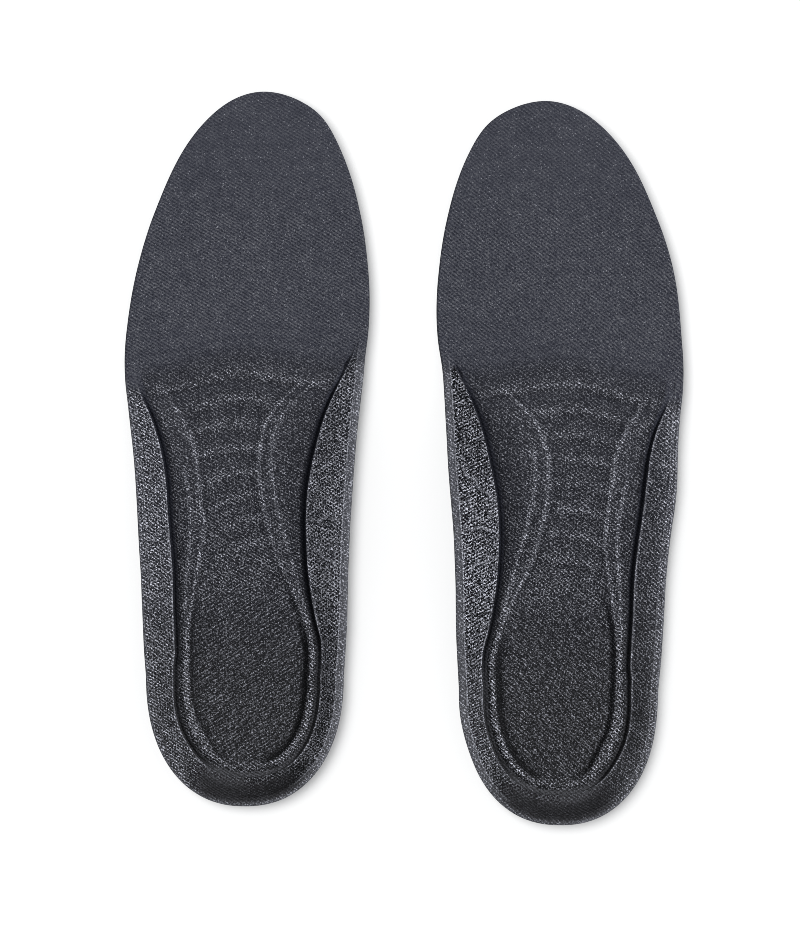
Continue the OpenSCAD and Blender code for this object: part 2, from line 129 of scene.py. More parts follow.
class Lines:
    """Lines that run from the edge of the insole to its spine, all the way round it."""

    def __init__(self, step, n_heel, n_toe, hand="left"):
        cuts = (HEEL_C, 86.0, 135.0, TOE_C)
        rows = np.concatenate([np.arange(a, b - 1e-6, h) for a, b, h in zip(cuts[:-1], cuts[1:], (step, step * 0.5, step))] + [[TOE_C]])
        nr = len(rows)
        ex, ey, ys, side, kind, s, spine, par = [], [], [], [], [], [], [], []

        def side_rows(sign, order):
            for r in order:
                y0 = rows[r]
                table = OUTER if sign < 0 else INNER
                y = y0
                for _ in range(6):
                    x = float(curve(y, table))
                    y = y0 - float(self.drop(np.array(y0), np.array(x - curve(y0, SPINE_X))))
                ex.append(x); ey.append(y); ys.append(y0); side.append(sign); kind.append(0); s.append(y); spine.append(r)
                f = (y0 - HEEL_C) / (TOE_C - HEEL_C)
                par.append(1 - f if sign < 0 else 2 + f)

        side_rows(-1, range(nr - 1, -1, -1))
        for q in np.linspace(-1, 1, n_heel + 2)[1:-1]:
            a = math.radians(90 * q)
            ex.append(HEEL_RX * math.copysign(abs(math.sin(a)) ** (2 / HEEL_N), q))
            ey.append(HEEL_C - HEEL_C * abs(math.cos(a)) ** (2 / HEEL_N))
            ys.append(HEEL_C); side.append(-1 if q < 0 else 1); kind.append(1); s.append(HEEL_C * abs(q)); spine.append(0)
            par.append(1 + (q + 1) / 2)
        side_rows(1, range(nr))
        # toe: a smooth curve through TOE, even steps along it
        p = np.array(TOE[::-1], float)
        p[0] = [float(curve(TOE_C, INNER)), TOE_C]
        p[-1] = [float(curve(TOE_C, OUTER)), TOE_C]
        c = np.concatenate([[0], np.cumsum(np.hypot(*np.diff(p, axis=0).T))])
        for _ in range(3):  # natural spline by arc length
            fx, fy = self.spline(c, p[:, 0]), self.spline(c, p[:, 1])
            break
        for t in np.linspace(0, c[-1], n_toe + 2)[1:-1]:
            ex.append(float(fx(t))); ey.append(float(fy(t)))
            ys.append(TOE_C); side.append(1 if t < c[-1] / 2 else -1); kind.append(2); s.append(250.0); spine.append(nr - 1)
            par.append(3 + t / c[-1])
        self.e = np.stack([ex, ey], 1)
        self.ys, self.side, self.kind, self.s = (np.array(v, float) for v in (ys, side, kind, s))
        self.spine = np.array(spine)
        self.par = np.array(par)
        self.nr = nr
        self.c = np.stack([curve(self.ys, SPINE_X), self.ys], 1)
        self.len = np.where(self.kind == 0, np.abs(self.e[:, 0] - self.c[:, 0]), np.hypot(*(self.e - self.c).T))
        self.n = len(self.ys)
        # outward direction of the edge
        t = np.roll(self.e, -1, 0) - np.roll(self.e, 1, 0)
        t /= np.hypot(*t.T)[:, None]
        self.out = np.stack([-t[:, 1], t[:, 0]], 1)
        if np.sum(self.out * (self.e - self.c)) < 0:
            self.out = -self.out
        o = self.side < 0

        def both(a, b):
            return np.where(o, curve(self.s, a), curve(self.s, b))
        self.g = both(GROOVE_O, GROOVE_I)
        self.ro = np.maximum(self.g + 1.5, both(RAIL_OUT_O, RAIL_OUT_I))
        self.ri = np.maximum(self.ro + 2.6, both(RAIL_IN_O, RAIL_IN_I))
        self.rim = np.maximum(FORE_T, both(RIM_O, RIM_I))
        self.lip = np.maximum(FORE_T, both(LIP_O, LIP_I))
        self.foot = np.where(o, 7.0, curve(self.s, FOOT_I))
        self.w = np.where(o, 1 - ramp(self.s, 146, 164), 1 - ramp(self.s, 154, 177))
        self.w = self.w * np.where(o, ramp(self.s, 9, 20), ramp(self.s, 12, 24))
        self.w = self.w * np.where(o, 0.8 + 0.2 * ramp(self.s, 50, 64), 0.5 + 0.5 * ramp(self.s, 52, 68))
        # the rail nearer the edge runs only part of the way forward
        self.ra = np.where(o, 1 - ramp(self.ys, 126, 138), 1.0 if hand == "left" else 1 - ramp(self.ys, 134, 144))
        self.slant = 0.40 if hand == "left" else 0.14
        self.back = 1 - np.where(o, ramp(self.s, 10, 26), ramp(self.s, 13, 30))
        self.bed = FORE_T + (BED_H - FORE_T) * (1 - ramp(self.ys, 165.2, 171.8))
        self.hollow = np.where(self.kind == 1, 1.0, np.where(self.kind == 2, 0.0, 1 - ramp(self.ys, 82, 97)))
        # the lip never sinks under the bed beside it
        self.lip = np.maximum(self.lip, np.minimum(self.bed, self.rim))

    @staticmethod
    def drop(y0, dx):
        """How far a row falls back towards the heel at a distance dx from the spine."""
        amp = 8.0 * ramp(y0, 62, 100) * (1 - ramp(y0, 172, 216))
        u = dx / 23.0
        return amp * u * u / (1 + u * u) * np.where(dx < 0, 1.3, 0.75)

    @staticmethod
    def spline(t, v):
        n = len(t)
        h = np.diff(t)
        a = np.zeros((n, n)); b = np.zeros(n)
        a[0, 0] = a[-1, -1] = 1
        for i in range(1, n - 1):
            a[i, i - 1], a[i, i], a[i, i + 1] = h[i - 1], 2 * (h[i - 1] + h[i]), h[i]
            b[i] = 6 * ((v[i + 1] - v[i]) / h[i] - (v[i] - v[i - 1]) / h[i - 1])
        m = np.linalg.solve(a, b)

        def f(x):
            i = int(np.clip(np.searchsorted(t, x) - 1, 0, n - 2))
            l, r = t[i + 1] - x, x - t[i]
            return ((m[i] * l ** 3 + m[i + 1] * r ** 3) / (6 * h[i]) + (v[i] / h[i] - m[i] * h[i] / 6) * l
                    + (v[i + 1] / h[i] - m[i + 1] * h[i] / 6) * r)
        return f

    def xy(self, d):
        """Plan position at an inset d (N, K) from the edge; a negative inset lies outside it."""
        inside = np.maximum(d, 0)
        f = (1 - inside / self.len[:, None])[..., None]
        c, e = self.c[:, None, :], self.e[:, None, :]
        p = c + (e - c) * f
        rows = self.kind == 0
        dx = p[rows, :, 0] - self.c[rows, None, 0]
        p[rows, :, 1] = self.ys[rows, None] - self.drop(self.ys[rows, None], dx)
        # the edge's own place on the row, kept exact
        return p + self.out[:, None, :] * np.maximum(-d, 0)[..., None]

    def stations(self, counts):
        g, ro, ri, L = self.g, self.ro, self.ri, self.len
        z = np.zeros(self.n)
        b = np.stack([z, z + 1.1, z + 2.45, z + 3.1, g - 0.95, g - 0.4, g + 0.2, g + 1.4, ro, (ro + ri) / 2, ri, np.minimum(ri + 2.4, L - 1), L], 1)
        b = np.maximum.accumulate(b, axis=1)
        out, self.u = [], []
        for k, m in enumerate(counts):
            for j in range(m):
                out.append(b[:, k] + (b[:, k + 1] - b[:, k]) * j / m)
                self.u.append(k + j / m)
        return np.stack(out, 1)  # the spine itself is left out


def lean(L, d):
    """The ribs nearest the heel lean back towards the outer side."""
    x = L.xy(d)[..., 0] - curve(L.ys, SPINE_X)[:, None]
    return L.slant * np.clip(x, -16, 16) * (1 - ramp(L.ys, 106, 142))[:, None]


def relief(L, d):
    """Height of the top of the cloth at inset d."""
    col = lambda v: v[:, None]
    g, ro, ri, rim, lip, w, bed, ys, s, ra = (col(v) for v in (L.g, L.ro, L.ri, L.rim, L.lip, L.w, L.bed, L.ys, L.s, L.ra))
    heel = col(L.kind) == 1
    inner = col(L.side) > 0
    tall = ramp(rim, FORE_T, 9.0)
    # rim strip and flange
    t = np.clip((d - 3.0) / np.maximum(g - 0.95 - 3.0, 0.1), 0, 1)
    fall = 0.7 * t + 0.3 * t * t * (3 - 2 * t)
    top = rim - 0.15 * tall
    back = col(L.back)
    z_out = top + (lip - top) * fall + 0.45 * tall * np.sin(math.pi * np.clip(t, 0, 1)) * ramp(g, 5, 9) * (1 - back)
    z_out = z_out + back * (top - lip) * (fall - (1 - (1 - t) ** 2.3))
    z_out = np.where(d < 3.0, rim - 0.15 * tall * ramp(d, 1.2, 3.0), z_out)
    z_out = z_out + tall * (0.26 * gauss(d, 2.8, 0.30) - 0.20 * gauss(d, 2.1, 0.35) - 0.16 * gauss(d, 3.5, 0.4))
    z_out = z_out + w * 0.36 * gauss(d, g - 0.75, 0.40)
    # sculpted bed inside the groove
    u = np.clip((d - g) / np.maximum(ro - g, 0.5), 0, 1)
    z_in = bed - w * (1.0 * (1 - u) ** 1.6 + 1.3 * np.exp(-np.maximum(d - g, 0) / 1.1))
    z_in = z_in + back * (1 - u) * 0.8
    # rails: two fine ridges with a shallow channel between them
    wr = np.where(heel, 0, ramp(ys, 64, 80)) * (1 - ramp(ys, 150, 167))
    wide = np.maximum(ri - ro, 2.6)
    v = np.clip((d - ro) / wide, 0, 1)
    z_rail = wr * (0.25 * np.sin(math.pi * v) + 0.60 * ra * gauss(d, ro + 0.7, 0.80) + 0.70 * gauss(d, ri - 0.5, 0.80))
    # ring round the heel recess: one rounded bead that fades at the very back
    wh = np.where(heel, 0.3 + 0.7 * ramp(s, 5, 17), 1 - ramp(ys, 62, 82))
    z_rail = z_rail + wh * 1.35 * np.sin(math.pi * np.clip(v * 1.04, 0, 1)) ** 0.9
    z_in = z_in + z_rail
    # ribs across the floor
    ph = (ys - RIB0 - lean(L, d)) / RIB_PITCH
    on = np.where(heel, 0, ramp(ys, 91.5, 97.5)) * (1 - ramp(ys, RIB0 + (RIBS - 1) * RIB_PITCH + 0.5, RIB0 + (RIBS - 1) * RIB_PITCH + 4.5))
    crest = (0.5 + 0.5 * np.cos(2 * math.pi * ph)) ** 2.0
    rib = on * (1.45 * crest - 0.62)
    across = ramp(d, ri - 0.3, ri + 2.6)
    # ahead of the waist the ribs run out past the rails
    spread = ramp(ys, 150, 160)
    across = np.maximum(across, spread * ramp(d, g + 2.0, g + 6.0))
    z_in = z_in + rib * across
    # heel recess
    wall = np.where(inner, 1.7, 1.9) + np.where(heel, 2.5 * (1 - ramp(s, 3, 14)), 0) + 5 * ramp(ys, 70, 92)
    bowl = RECESS_H - 0.35 * ramp(d, ri, col(L.len))
    k = col(L.hollow) * ramp(d, ri - 0.5, ri - 0.5 + wall)
    z_in = z_in * (1 - k) + bowl * k
    # a soft crease runs just inside the ring
    z_in = z_in - 0.35 * col(L.hollow) * gauss(d, ri + wall * 0.75, 0.7) * (1 - ramp(ys, 72, 86))
    step = ramp(d, g - 0.5, g + 0.15)
    z = z_out * (1 - step) + z_in * step
    # rounded outer edge
    r = 0.55 + 0.45 * tall
    e = np.clip(1 - d / (1.1 * r), 0, 1)
    return z - r * (1 - np.sqrt(np.maximum(1 - e * e, 0)))


def under(L, d):
    """Height of the outside of the shell above the ground."""
    rim, foot = L.rim[:, None], L.foot[:, None]
    t = np.clip(1 - np.maximum(d, 0) / foot, 0, 1)
    return 0.97 * (rim - FORE_T) * t ** 1.35


def share(L):
    """Share of the body, under the cloth, that is the firm base."""
    s = 0.45 - 0.13 * ramp(L.ys, 140, 163)
    s = s * (1 - ramp(L.ys, 163, 170.5))
    return np.where(L.kind == 2, 0, s)[:, None]


def loft(name, L, xy, z, core, core_z, keep=None):
    """A closed mesh: rings of stations (N, M) from the top spine out, round the wall and back in under; core is the spine."""
    n, m = z.shape
    pts = np.concatenate([xy, z[..., None]], 2).reshape(-1, 3)
    top = np.concatenate([core, core_z[0][:, None]], 1)
    low = np.concatenate([core, core_z[1][:, None]], 1)
    base_t, base_l = n * m, n * m + len(core)
    verts = np.concatenate([pts, top, low])
    faces = []
    idx = range(n) if keep is None else keep
    for i in idx:
        j = (i + 1) % n
        a, b = i * m, j * m
        p, q = int(L.spine[i]), int(L.spine[j])
        for k in range(m - 1):
            faces.append((a + k, a + k + 1, b + k + 1, b + k))
        if p == q:
            faces.append((a, b, base_t + p))
            faces.append((b + m - 1, a + m - 1, base_l + p))
        else:
            faces.append((a, b, base_t + q, base_t + p))
            faces.append((b + m - 1, a + m - 1, base_l + p, base_l + q))
    return verts, faces


def make_object(name, verts, faces, mat, attrs=None):
    me = bpy.data.meshes.new(name)
    me.from_pydata([tuple(v) for v in np.asarray(verts) * MM], [], faces)
    for key, val in (attrs or {}).items():
        if val.ndim == 2:
            a = me.attributes.new(key, "FLOAT_VECTOR", "POINT")
            a.data.foreach_set("vector", val.astype(np.float32).ravel())
        else:
            a = me.attributes.new(key, "FLOAT", "POINT")
            a.data.foreach_set("value", val.astype(np.float32).ravel())
    bm = bmesh.new()
    bm.from_mesh(me)
    loose = [v for v in bm.verts if not v.link_faces]
    if loose:
        bmesh.ops.delete(bm, geom=loose, context="VERTS")
    bmesh.ops.recalc_face_normals(bm, faces=bm.faces)
    bm.to_mesh(me)
    bm.free()
    me.polygons.foreach_set("use_smooth", [True] * len(me.polygons))
    me.materials.append(mat)
    ob = bpy.data.objects.new(name, me)
    scene.collection.objects.link(ob)
    return ob


# ------------------------------------------------------------------ placing left and right
LONG = {"left": 0.9945, "right": 1.007}     # length of each insole as a share of 270 mm, and width of the right one
WIDE = 1.018                                # as a share of the left one's, the same as in the CAD


def place(hand):
    """Matrix from the left-hand plan to the row frame, found from the CAD boxes and the flex lines."""
    flex = {j["child"]: j for j in frame["joints"]}
    lp, la = Vector(flex["left_forefoot"]["pos_m"]), Vector(flex["left_forefoot"]["axis"])
    left_m = Matrix.Translation((lp.x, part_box("left_top_cover_forefoot")[1][1] - 0.270, 0))
    if hand == "left":
        return left_m
    # the right insole is the left one mirrored, then turned and moved until the two flex lines agree
    rp, ra = Vector(flex["right_forefoot"]["pos_m"]), Vector(flex["right_forefoot"]["axis"])
    slant = la.y / la.x / LONG["left"]
    turn = math.atan2(ra.y, ra.x) + math.atan(slant * LONG["right"] / WIDE)
    knee = Vector((0, rp.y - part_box("right_top_cover_rear")[0][1] - 0.0008, 0))
    return (Matrix.Translation((rp.x, rp.y, 0)) @ Matrix.Rotation(turn, 4, "Z") @ Matrix.Scale(-1, 4, (1, 0, 0))
            @ Matrix.Translation((-knee.x, -knee.y, 0)))


def spread(hand, x, y):
    """The two insoles of the pair are not cut quite alike: the right one is a little longer and wider in front and at the waist."""
    if hand == "left":
        return x * (1 - 0.006 * (1 - ramp(y, 20, 60))), y + 1.5 * (1 - ramp(y, 0, 50))
    inner = 0.85 * ramp(y, 22, 44) - 0.60 * gauss(y, 165, 13) + 0.50 * gauss(y, 130, 16)
    outer = 1.35 * ramp(y, 176, 212) + 1.60 * gauss(y, 124, 17) - 0.45 * gauss(y, 45, 20)
    x = x + inner * np.clip(x / 32.0, 0, 1.15) + outer * np.clip(x / 32.0, -1.15, 0)
    return x, y + 0.0083 * np.maximum(y - 45, 0) - 0.6 * ramp(y, 240, 268) - 0.016 * np.maximum(45 - y, 0)


def put(ob, m, hand):
    co = np.zeros(len(ob.data.vertices) * 3)
    ob.data.vertices.foreach_get("co", co)
    co = co.reshape(-1, 3)
    x, y = spread(hand, co[:, 0] / MM, co[:, 1] / MM)
    co[:, 0], co[:, 1] = x * MM, y * MM
    ob.data.vertices.foreach_set("co", co.ravel())
    ob.data.transform(m)
    if m.determinant() < 0:
        ob.data.flip_normals()
    ob.data.update()


# ------------------------------------------------------------------ materials
def nodes_of(name):
    mat = bpy.data.materials.new(name)
    mat.use_nodes = True
    nt = mat.node_tree
    nt.nodes.clear()
    out = nt.nodes.new("ShaderNodeOutputMaterial")
    b = nt.nodes.new("ShaderNodeBsdfPrincipled")
    nt.links.new(b.outputs[0], out.inputs[0])
    return mat, nt, b


class Net:
    """Short names for building a node tree."""

    def __init__(self, nt):
        self.nt = nt

    def set(self, sock, v):
        if isinstance(v, bpy.types.NodeSocket):
            self.nt.links.new(v, sock)
        elif v is not None:
            sock.default_value = v

    def math(self, op, a, b=None, c=None, clamp=False):
        n = self.nt.nodes.new("ShaderNodeMath")
        n.operation = op
        n.use_clamp = clamp
        for s, v in zip(n.inputs, (a, b, c)):
            self.set(s, v)
        return n.outputs[0]

    def vec(self, op, a, b=None, scale=None):
        n = self.nt.nodes.new("ShaderNodeVectorMath")
        n.operation = op
        self.set(n.inputs[0], a)
        if b is not None:
            self.set(n.inputs[1], b)
        if scale is not None:
            self.set(n.inputs["Scale"], scale)
        return n.outputs["Value"] if op in ("DOT_PRODUCT", "LENGTH") else n.outputs["Vector"]

    def attr(self, name, what="Fac"):
        n = self.nt.nodes.new("ShaderNodeAttribute")
        n.attribute_name = name
        return n.outputs[what]

    def noise(self, vector, scale, detail=2.0, rough=0.5, dist=0.0, what=0):
        n = self.nt.nodes.new("ShaderNodeTexNoise")
        self.set(n.inputs["Vector"], vector)
        n.inputs["Scale"].default_value = scale
        n.inputs["Detail"].default_value = detail
        n.inputs["Roughness"].default_value = rough
        n.inputs["Distortion"].default_value = dist
        return n.outputs[what]

    def voronoi(self, vector, scale, feature="F1", what="Distance", rand=1.0):
        n = self.nt.nodes.new("ShaderNodeTexVoronoi")
        n.feature = feature
        self.set(n.inputs["Vector"], vector)
        n.inputs["Scale"].default_value = scale
        n.inputs["Randomness"].default_value = rand
        return n.outputs[what]

    def step(self, x, a, b, lo=0.0, hi=1.0):
        n = self.nt.nodes.new("ShaderNodeMapRange")
        n.interpolation_type = "SMOOTHSTEP"
        self.set(n.inputs["Value"], x)
        for k, v in (("From Min", a), ("From Max", b), ("To Min", lo), ("To Max", hi)):
            self.set(n.inputs[k], v)
        return n.outputs["Result"]

    def mix(self, f, a, b):
        n = self.nt.nodes.new("ShaderNodeMix")
        n.data_type = "RGBA"
        self.set(n.inputs["Factor"], f)
        self.set(n.inputs["A"], a)
        self.set(n.inputs["B"], b)
        return n.outputs["Result"]

    def bump(self, h, strength, dist, normal=None):
        n = self.nt.nodes.new("ShaderNodeBump")
        n.inputs["Strength"].default_value = strength
        n.inputs["Distance"].default_value = dist
        self.set(n.inputs["Height"], h)
        if normal is not None:
            self.set(n.inputs["Normal"], normal)
        return n.outputs[0]


def rgb(r, g, b):
    f = lambda c: (c / 255 / 12.92) if c <= 10 else ((c / 255 + 0.055) / 1.055) ** 2.4
    return (f(r), f(g), f(b), 1.0)


def cloth_material(name, waves, seed):
    """Fine warp-knit mesh: two sets of slanting threads cross round open holes, and each short run of thread catches the light by its own amount."""
    mat, nt, b = nodes_of(name)
    N = Net(nt)
    p0 = N.attr("weave", "Vector")
    stretch = N.attr("stretch")
    # painted shade, from the mesh
    dark = N.attr("dark")
    press = N.attr("press")
    bias = N.attr("bias")
    # painted highlights, from the mesh
    painted_highlight = N.attr("painted_highlight")
    off = N.vec("ADD", p0, (seed * 7.3, seed * 3.1, seed))
    # the knit wanders a little
    wob = N.vec("SUBTRACT", N.noise(off, 0.30, 2.0, 0.5, 0.0, 1), (0.5, 0.5, 0.5))
    p = N.vec("ADD", off, N.vec("SCALE", wob, scale=0.9))
    wob2 = N.vec("SUBTRACT", N.noise(off, 1.5, 1.0, 0.5, 0.0, 1), (0.5, 0.5, 0.5))
    p = N.vec("ADD", p, N.vec("SCALE", wob2, scale=0.22))
    floor_w = N.attr("floor")
    u = N.vec("DOT_PRODUCT", p, (waves[0][0], waves[0][1], 0))
    v = N.vec("DOT_PRODUCT", p, (waves[1][0], waves[1][1], 0))

    def wave(x):
        return N.math("MULTIPLY_ADD", N.math("COSINE", N.math("MULTIPLY", x, 2 * math.pi)), -0.5, 0.5)

    la, lb = wave(u), wave(v)
    lc = wave(N.math("ADD", u, v))
    wa = N.math("MULTIPLY_ADD", bias, -0.50, 0.62)
    wb = N.math("MULTIPLY_ADD", bias, 0.50, 0.12)
    lat = N.math("ADD", N.math("ADD", N.math("MULTIPLY", la, wa), N.math("MULTIPLY", lb, wb)), N.math("MULTIPLY", lc, 0.20))
    # in the heel recess the two threads beat into a coarser slanting twill
    ta = wave(N.vec("DOT_PRODUCT", p, (waves[2][0], waves[2][1], 0)))
    tb = wave(N.vec("DOT_PRODUCT", p, (waves[3][0], waves[3][1], 0)))
    twill = N.math("ADD", N.math("MULTIPLY", ta, 0.13), N.math("MULTIPLY", tb, 0.09))
    heel_lat = N.math("ADD", twill, N.math("MULTIPLY", lat, 0.72))
    lat = N.math("ADD", N.math("MULTIPLY", lat, N.math("SUBTRACT", 1.0, floor_w)), N.math("MULTIPLY", heel_lat, floor_w))
    # broken filaments: each grain about as wide as one thread has its own brightness

    def grain(scale, shift):
        vor = nt.nodes.new("ShaderNodeTexVoronoi")
        vor.feature = "F1"
        nt.links.new(N.vec("ADD", off, (shift, shift * 0.7, shift * 1.3)), vor.inputs["Vector"])
        vor.inputs["Scale"].default_value = scale
        sep = nt.nodes.new("ShaderNodeSeparateColor")
        nt.links.new(vor.outputs["Color"], sep.inputs[0])
        return sep.outputs[0], sep.outputs[1]

    grit, grit2 = grain(3.3, 0.0)
    fil = N.noise(off, 1.6, 2.0, 0.7)
    # opened-up knit over the moulded rear: most ends are dull, a few catch the light
    spark = N.math("EXPONENT", N.math("MULTIPLY_ADD", grit, SPREAD, -SPREAD))
    open_ = N.math("MULTIPLY", spark, N.math("MULTIPLY_ADD", N.math("POWER", lat, 1.9), 3.0, 0.14))
    open_ = N.math("MULTIPLY", open_, N.step(fil, 0.30, 0.70, 0.86, 1.16))
    # flat knit in front: finely lined, quiet, with a few shining ends
    quiet = N.attr("quiet")
    flat_ = N.math("MULTIPLY", N.math("EXPONENT", N.math("MULTIPLY", N.math("MULTIPLY_ADD", grit, 1.30, -0.65), quiet)), N.math("MULTIPLY_ADD", N.math("MULTIPLY", N.math("SUBTRACT", la, 0.5), quiet), 0.034, N.math("MULTIPLY_ADD", N.math("MULTIPLY", N.math("SUBTRACT", lb, 0.5), quiet), 0.012, 0.0515)))
    flat_ = N.math("ADD", flat_, N.math("MULTIPLY", N.step(grit2, 0.970, 1.0), 0.17))
    thread = N.math("MULTIPLY", lat, 0.8)
    patch = N.noise(off, 0.22, 2.0, 0.5)
    broad = N.noise(off, 0.035, 2.0, 0.5)
    amp = N.math("MULTIPLY_ADD", stretch, 0.92, 0.006)
    amp = N.math("MULTIPLY", amp, N.math("MULTIPLY_ADD", press, -0.12, 1.0))
    gap = N.math("MULTIPLY_ADD", press, 0.046, N.math("MULTIPLY_ADD", stretch, -0.007, 0.0095))
    open_ = N.math("MULTIPLY_ADD", open_, amp, gap)
    sel = N.step(stretch, 0.08, 0.31)
    val = N.math("ADD", N.math("MULTIPLY", open_, sel), N.math("MULTIPLY", flat_, N.math("SUBTRACT", 1.0, sel)))
    val = N.math("MULTIPLY", val, N.step(patch, 0.25, 0.75, 0.90, 1.10))
    val = N.math("MULTIPLY", val, N.math("MULTIPLY_ADD", broad, 0.20, 0.90))
    # painted shade darkens the knit; then painted highlights brighten single grains, and the painted shade lifts the
    # blackest gaps a little
    val = N.math("MULTIPLY", val, N.math("SUBTRACT", 1.0, N.math("MULTIPLY", dark, 0.93)))
    val = N.math("ADD", val, N.math("MULTIPLY", painted_highlight, N.math("MULTIPLY", N.math("POWER", grit2, 1.5), 0.85)))
    val = N.math("ADD", val, N.math("MULTIPLY", dark, 0.008))
    val = N.math("MAXIMUM", N.math("MINIMUM", val, 0.75), 0.003)
    # dark threads are bluish, less so towards the heel; shining ends are nearly white
    ahead = N.step(N.vec("DOT_PRODUCT", p0, (0, 1, 0)), 30.0, 110.0)
    deep = N.mix(ahead, (0.975, 0.985, 1.08, 1.0), N.mix(sel, (0.90, 0.965, 1.34, 1.0), (0.940, 0.975, 1.22, 1.0)))
    tint = N.mix(N.step(val, 0.008, 0.11), deep, (0.965, 0.992, 1.125, 1.0))
    col = N.vec("SCALE", tint, scale=val)
    nt.links.new(col, b.inputs["Base Color"])
    nt.links.new(N.math("MULTIPLY_ADD", thread, -0.25, 0.9, clamp=True), b.inputs["Roughness"])
    # no shine where shade is painted
    nt.links.new(N.math("MULTIPLY", N.math("MULTIPLY_ADD", thread, 0.10, N.math("MULTIPLY_ADD", sel, -0.02, 0.03)), N.math("SUBTRACT", 1.0, dark)), b.inputs["Specular IOR Level"])
    height = N.math("ADD", lat, N.math("MULTIPLY", fil, 0.3))
    nt.links.new(N.bump(height, 0.45, 0.00018), b.inputs["Normal"])
    return mat


def foam_material(name, dark, light, cell, strength, rough):
    """Moulded closed-cell foam: a fine pebbled skin with soft mottling and scuffs."""
    mat, nt, b = nodes_of(name)
    N = Net(nt)
    p = N.vec("SCALE", N.attr("weave", "Vector"), scale=1.0)
    vor = N.voronoi(p, cell, "F1", "Distance")
    fine = N.noise(p, cell * 2.3, 3.0, 0.6)
    big = N.noise(p, 0.12, 3.0, 0.55)
    f = N.math("ADD", N.math("MULTIPLY", vor, 0.55), N.math("MULTIPLY", big, 0.55), clamp=True)
    col = N.mix(f, dark, light)
    scuff = N.step(N.noise(p, 0.5, 4.0, 0.7, 1.5), 0.66, 0.80)
    col = N.mix(N.math("MULTIPLY", scuff, 0.22), col, rgb(92, 93, 98))
    nt.links.new(col, b.inputs["Base Color"])
    r = N.math("MULTIPLY_ADD", fine, 0.25, rough - 0.12, clamp=True)
    nt.links.new(r, b.inputs["Roughness"])
    b.inputs["Specular IOR Level"].default_value = 0.35
    h = N.math("ADD", N.math("MULTIPLY", vor, -0.8), N.math("MULTIPLY", fine, 0.5))
    nt.links.new(N.bump(h, strength, 0.00025), b.inputs["Normal"])
    return mat


def gel_material(name):
    mat, nt, b = nodes_of(name)
    N = Net(nt)
    p = N.attr("weave", "Vector")
    fine = N.noise(p, 3.0, 3.0, 0.6)
    big = N.noise(p, 0.15, 2.0, 0.5)
    nt.links.new(N.mix(big, rgb(52, 60, 78), rgb(70, 80, 102)), b.inputs["Base Color"])
    nt.links.new(N.math("MULTIPLY_ADD", fine, 0.2, 0.32, clamp=True), b.inputs["Roughness"])
    b.inputs["Subsurface Weight"].default_value = 0.08
    b.inputs["Subsurface Radius"].default_value = (0.002, 0.002, 0.003)
    nt.links.new(N.bump(fine, 0.25, 0.0001), b.inputs["Normal"])
    return mat


SPREAD = 5.4
WAVES_L = [(0.454, 0.756), (0.417, -0.694), (0.307, -0.238), (0.473, 0.317)]
WAVES_R = [(-0.538, 0.664), (-0.360, -0.739), (-0.285, 0.157), (-0.503, -0.225)]
cloth_l = cloth_material("mesh_knit_left", WAVES_L, 1.0)
cloth_r = cloth_material("mesh_knit_right", WAVES_R, 2.0)
foam = foam_material("soft_foam", rgb(38, 39, 44), rgb(56, 57, 63), 2.2, 0.5, 0.85)
firm = foam_material("firm_foam", rgb(26, 27, 30), rgb(40, 41, 45), 1.3, 0.6, 0.72)
gel = gel_material("pad_gel")

# ------------------------------------------------------------------ creases pressed into the arch flange
CREASES = {
    "left": [((36.8, 108.3), (23.6, 107.8), 0.75, 0.75), ((25.0, 97.2), (34.6, 90.2), 0.8, 0.7), ((27.0, 100.4), (31.0, 96.0), 0.4, 0.6)],
    "right": [((36.6, 131.0), (26.0, 120.2), 0.75, 0.8), ((36.2, 108.9), (24.4, 108.4), 0.8, 0.7), ((33.2, 93.2), (24.6, 98.6), 0.7, 0.75),
              ((35.0, 121.5), (31.0, 112.0), 0.35, 0.7), ((28.0, 116.0), (25.0, 110.0), 0.3, 0.6)],
}


def crease(hand, x, y):
    """Depth of the creases, and a soft swelling beside each."""
    z = np.zeros_like(x)
    for (x0, y0), (x1, y1), depth, width in CREASES[hand]:
        dx, dy = x1 - x0, y1 - y0
        ln = math.hypot(dx, dy)
        along = ((x - x0) * dx + (y - y0) * dy) / ln
        off = ((x - x0) * dy - (y - y0) * dx) / ln
        off = off + 0.5 * np.sin(along * 0.9 + x0)
        ends = ramp(along, -1.5, 2.0) * (1 - ramp(along, ln - 2.0, ln + 1.5))
        z += ends * depth * (-np.exp(-(off / width) ** 2) + 0.35 * np.exp(-((np.abs(off) - 1.9) / 1.1) ** 2))
    return z


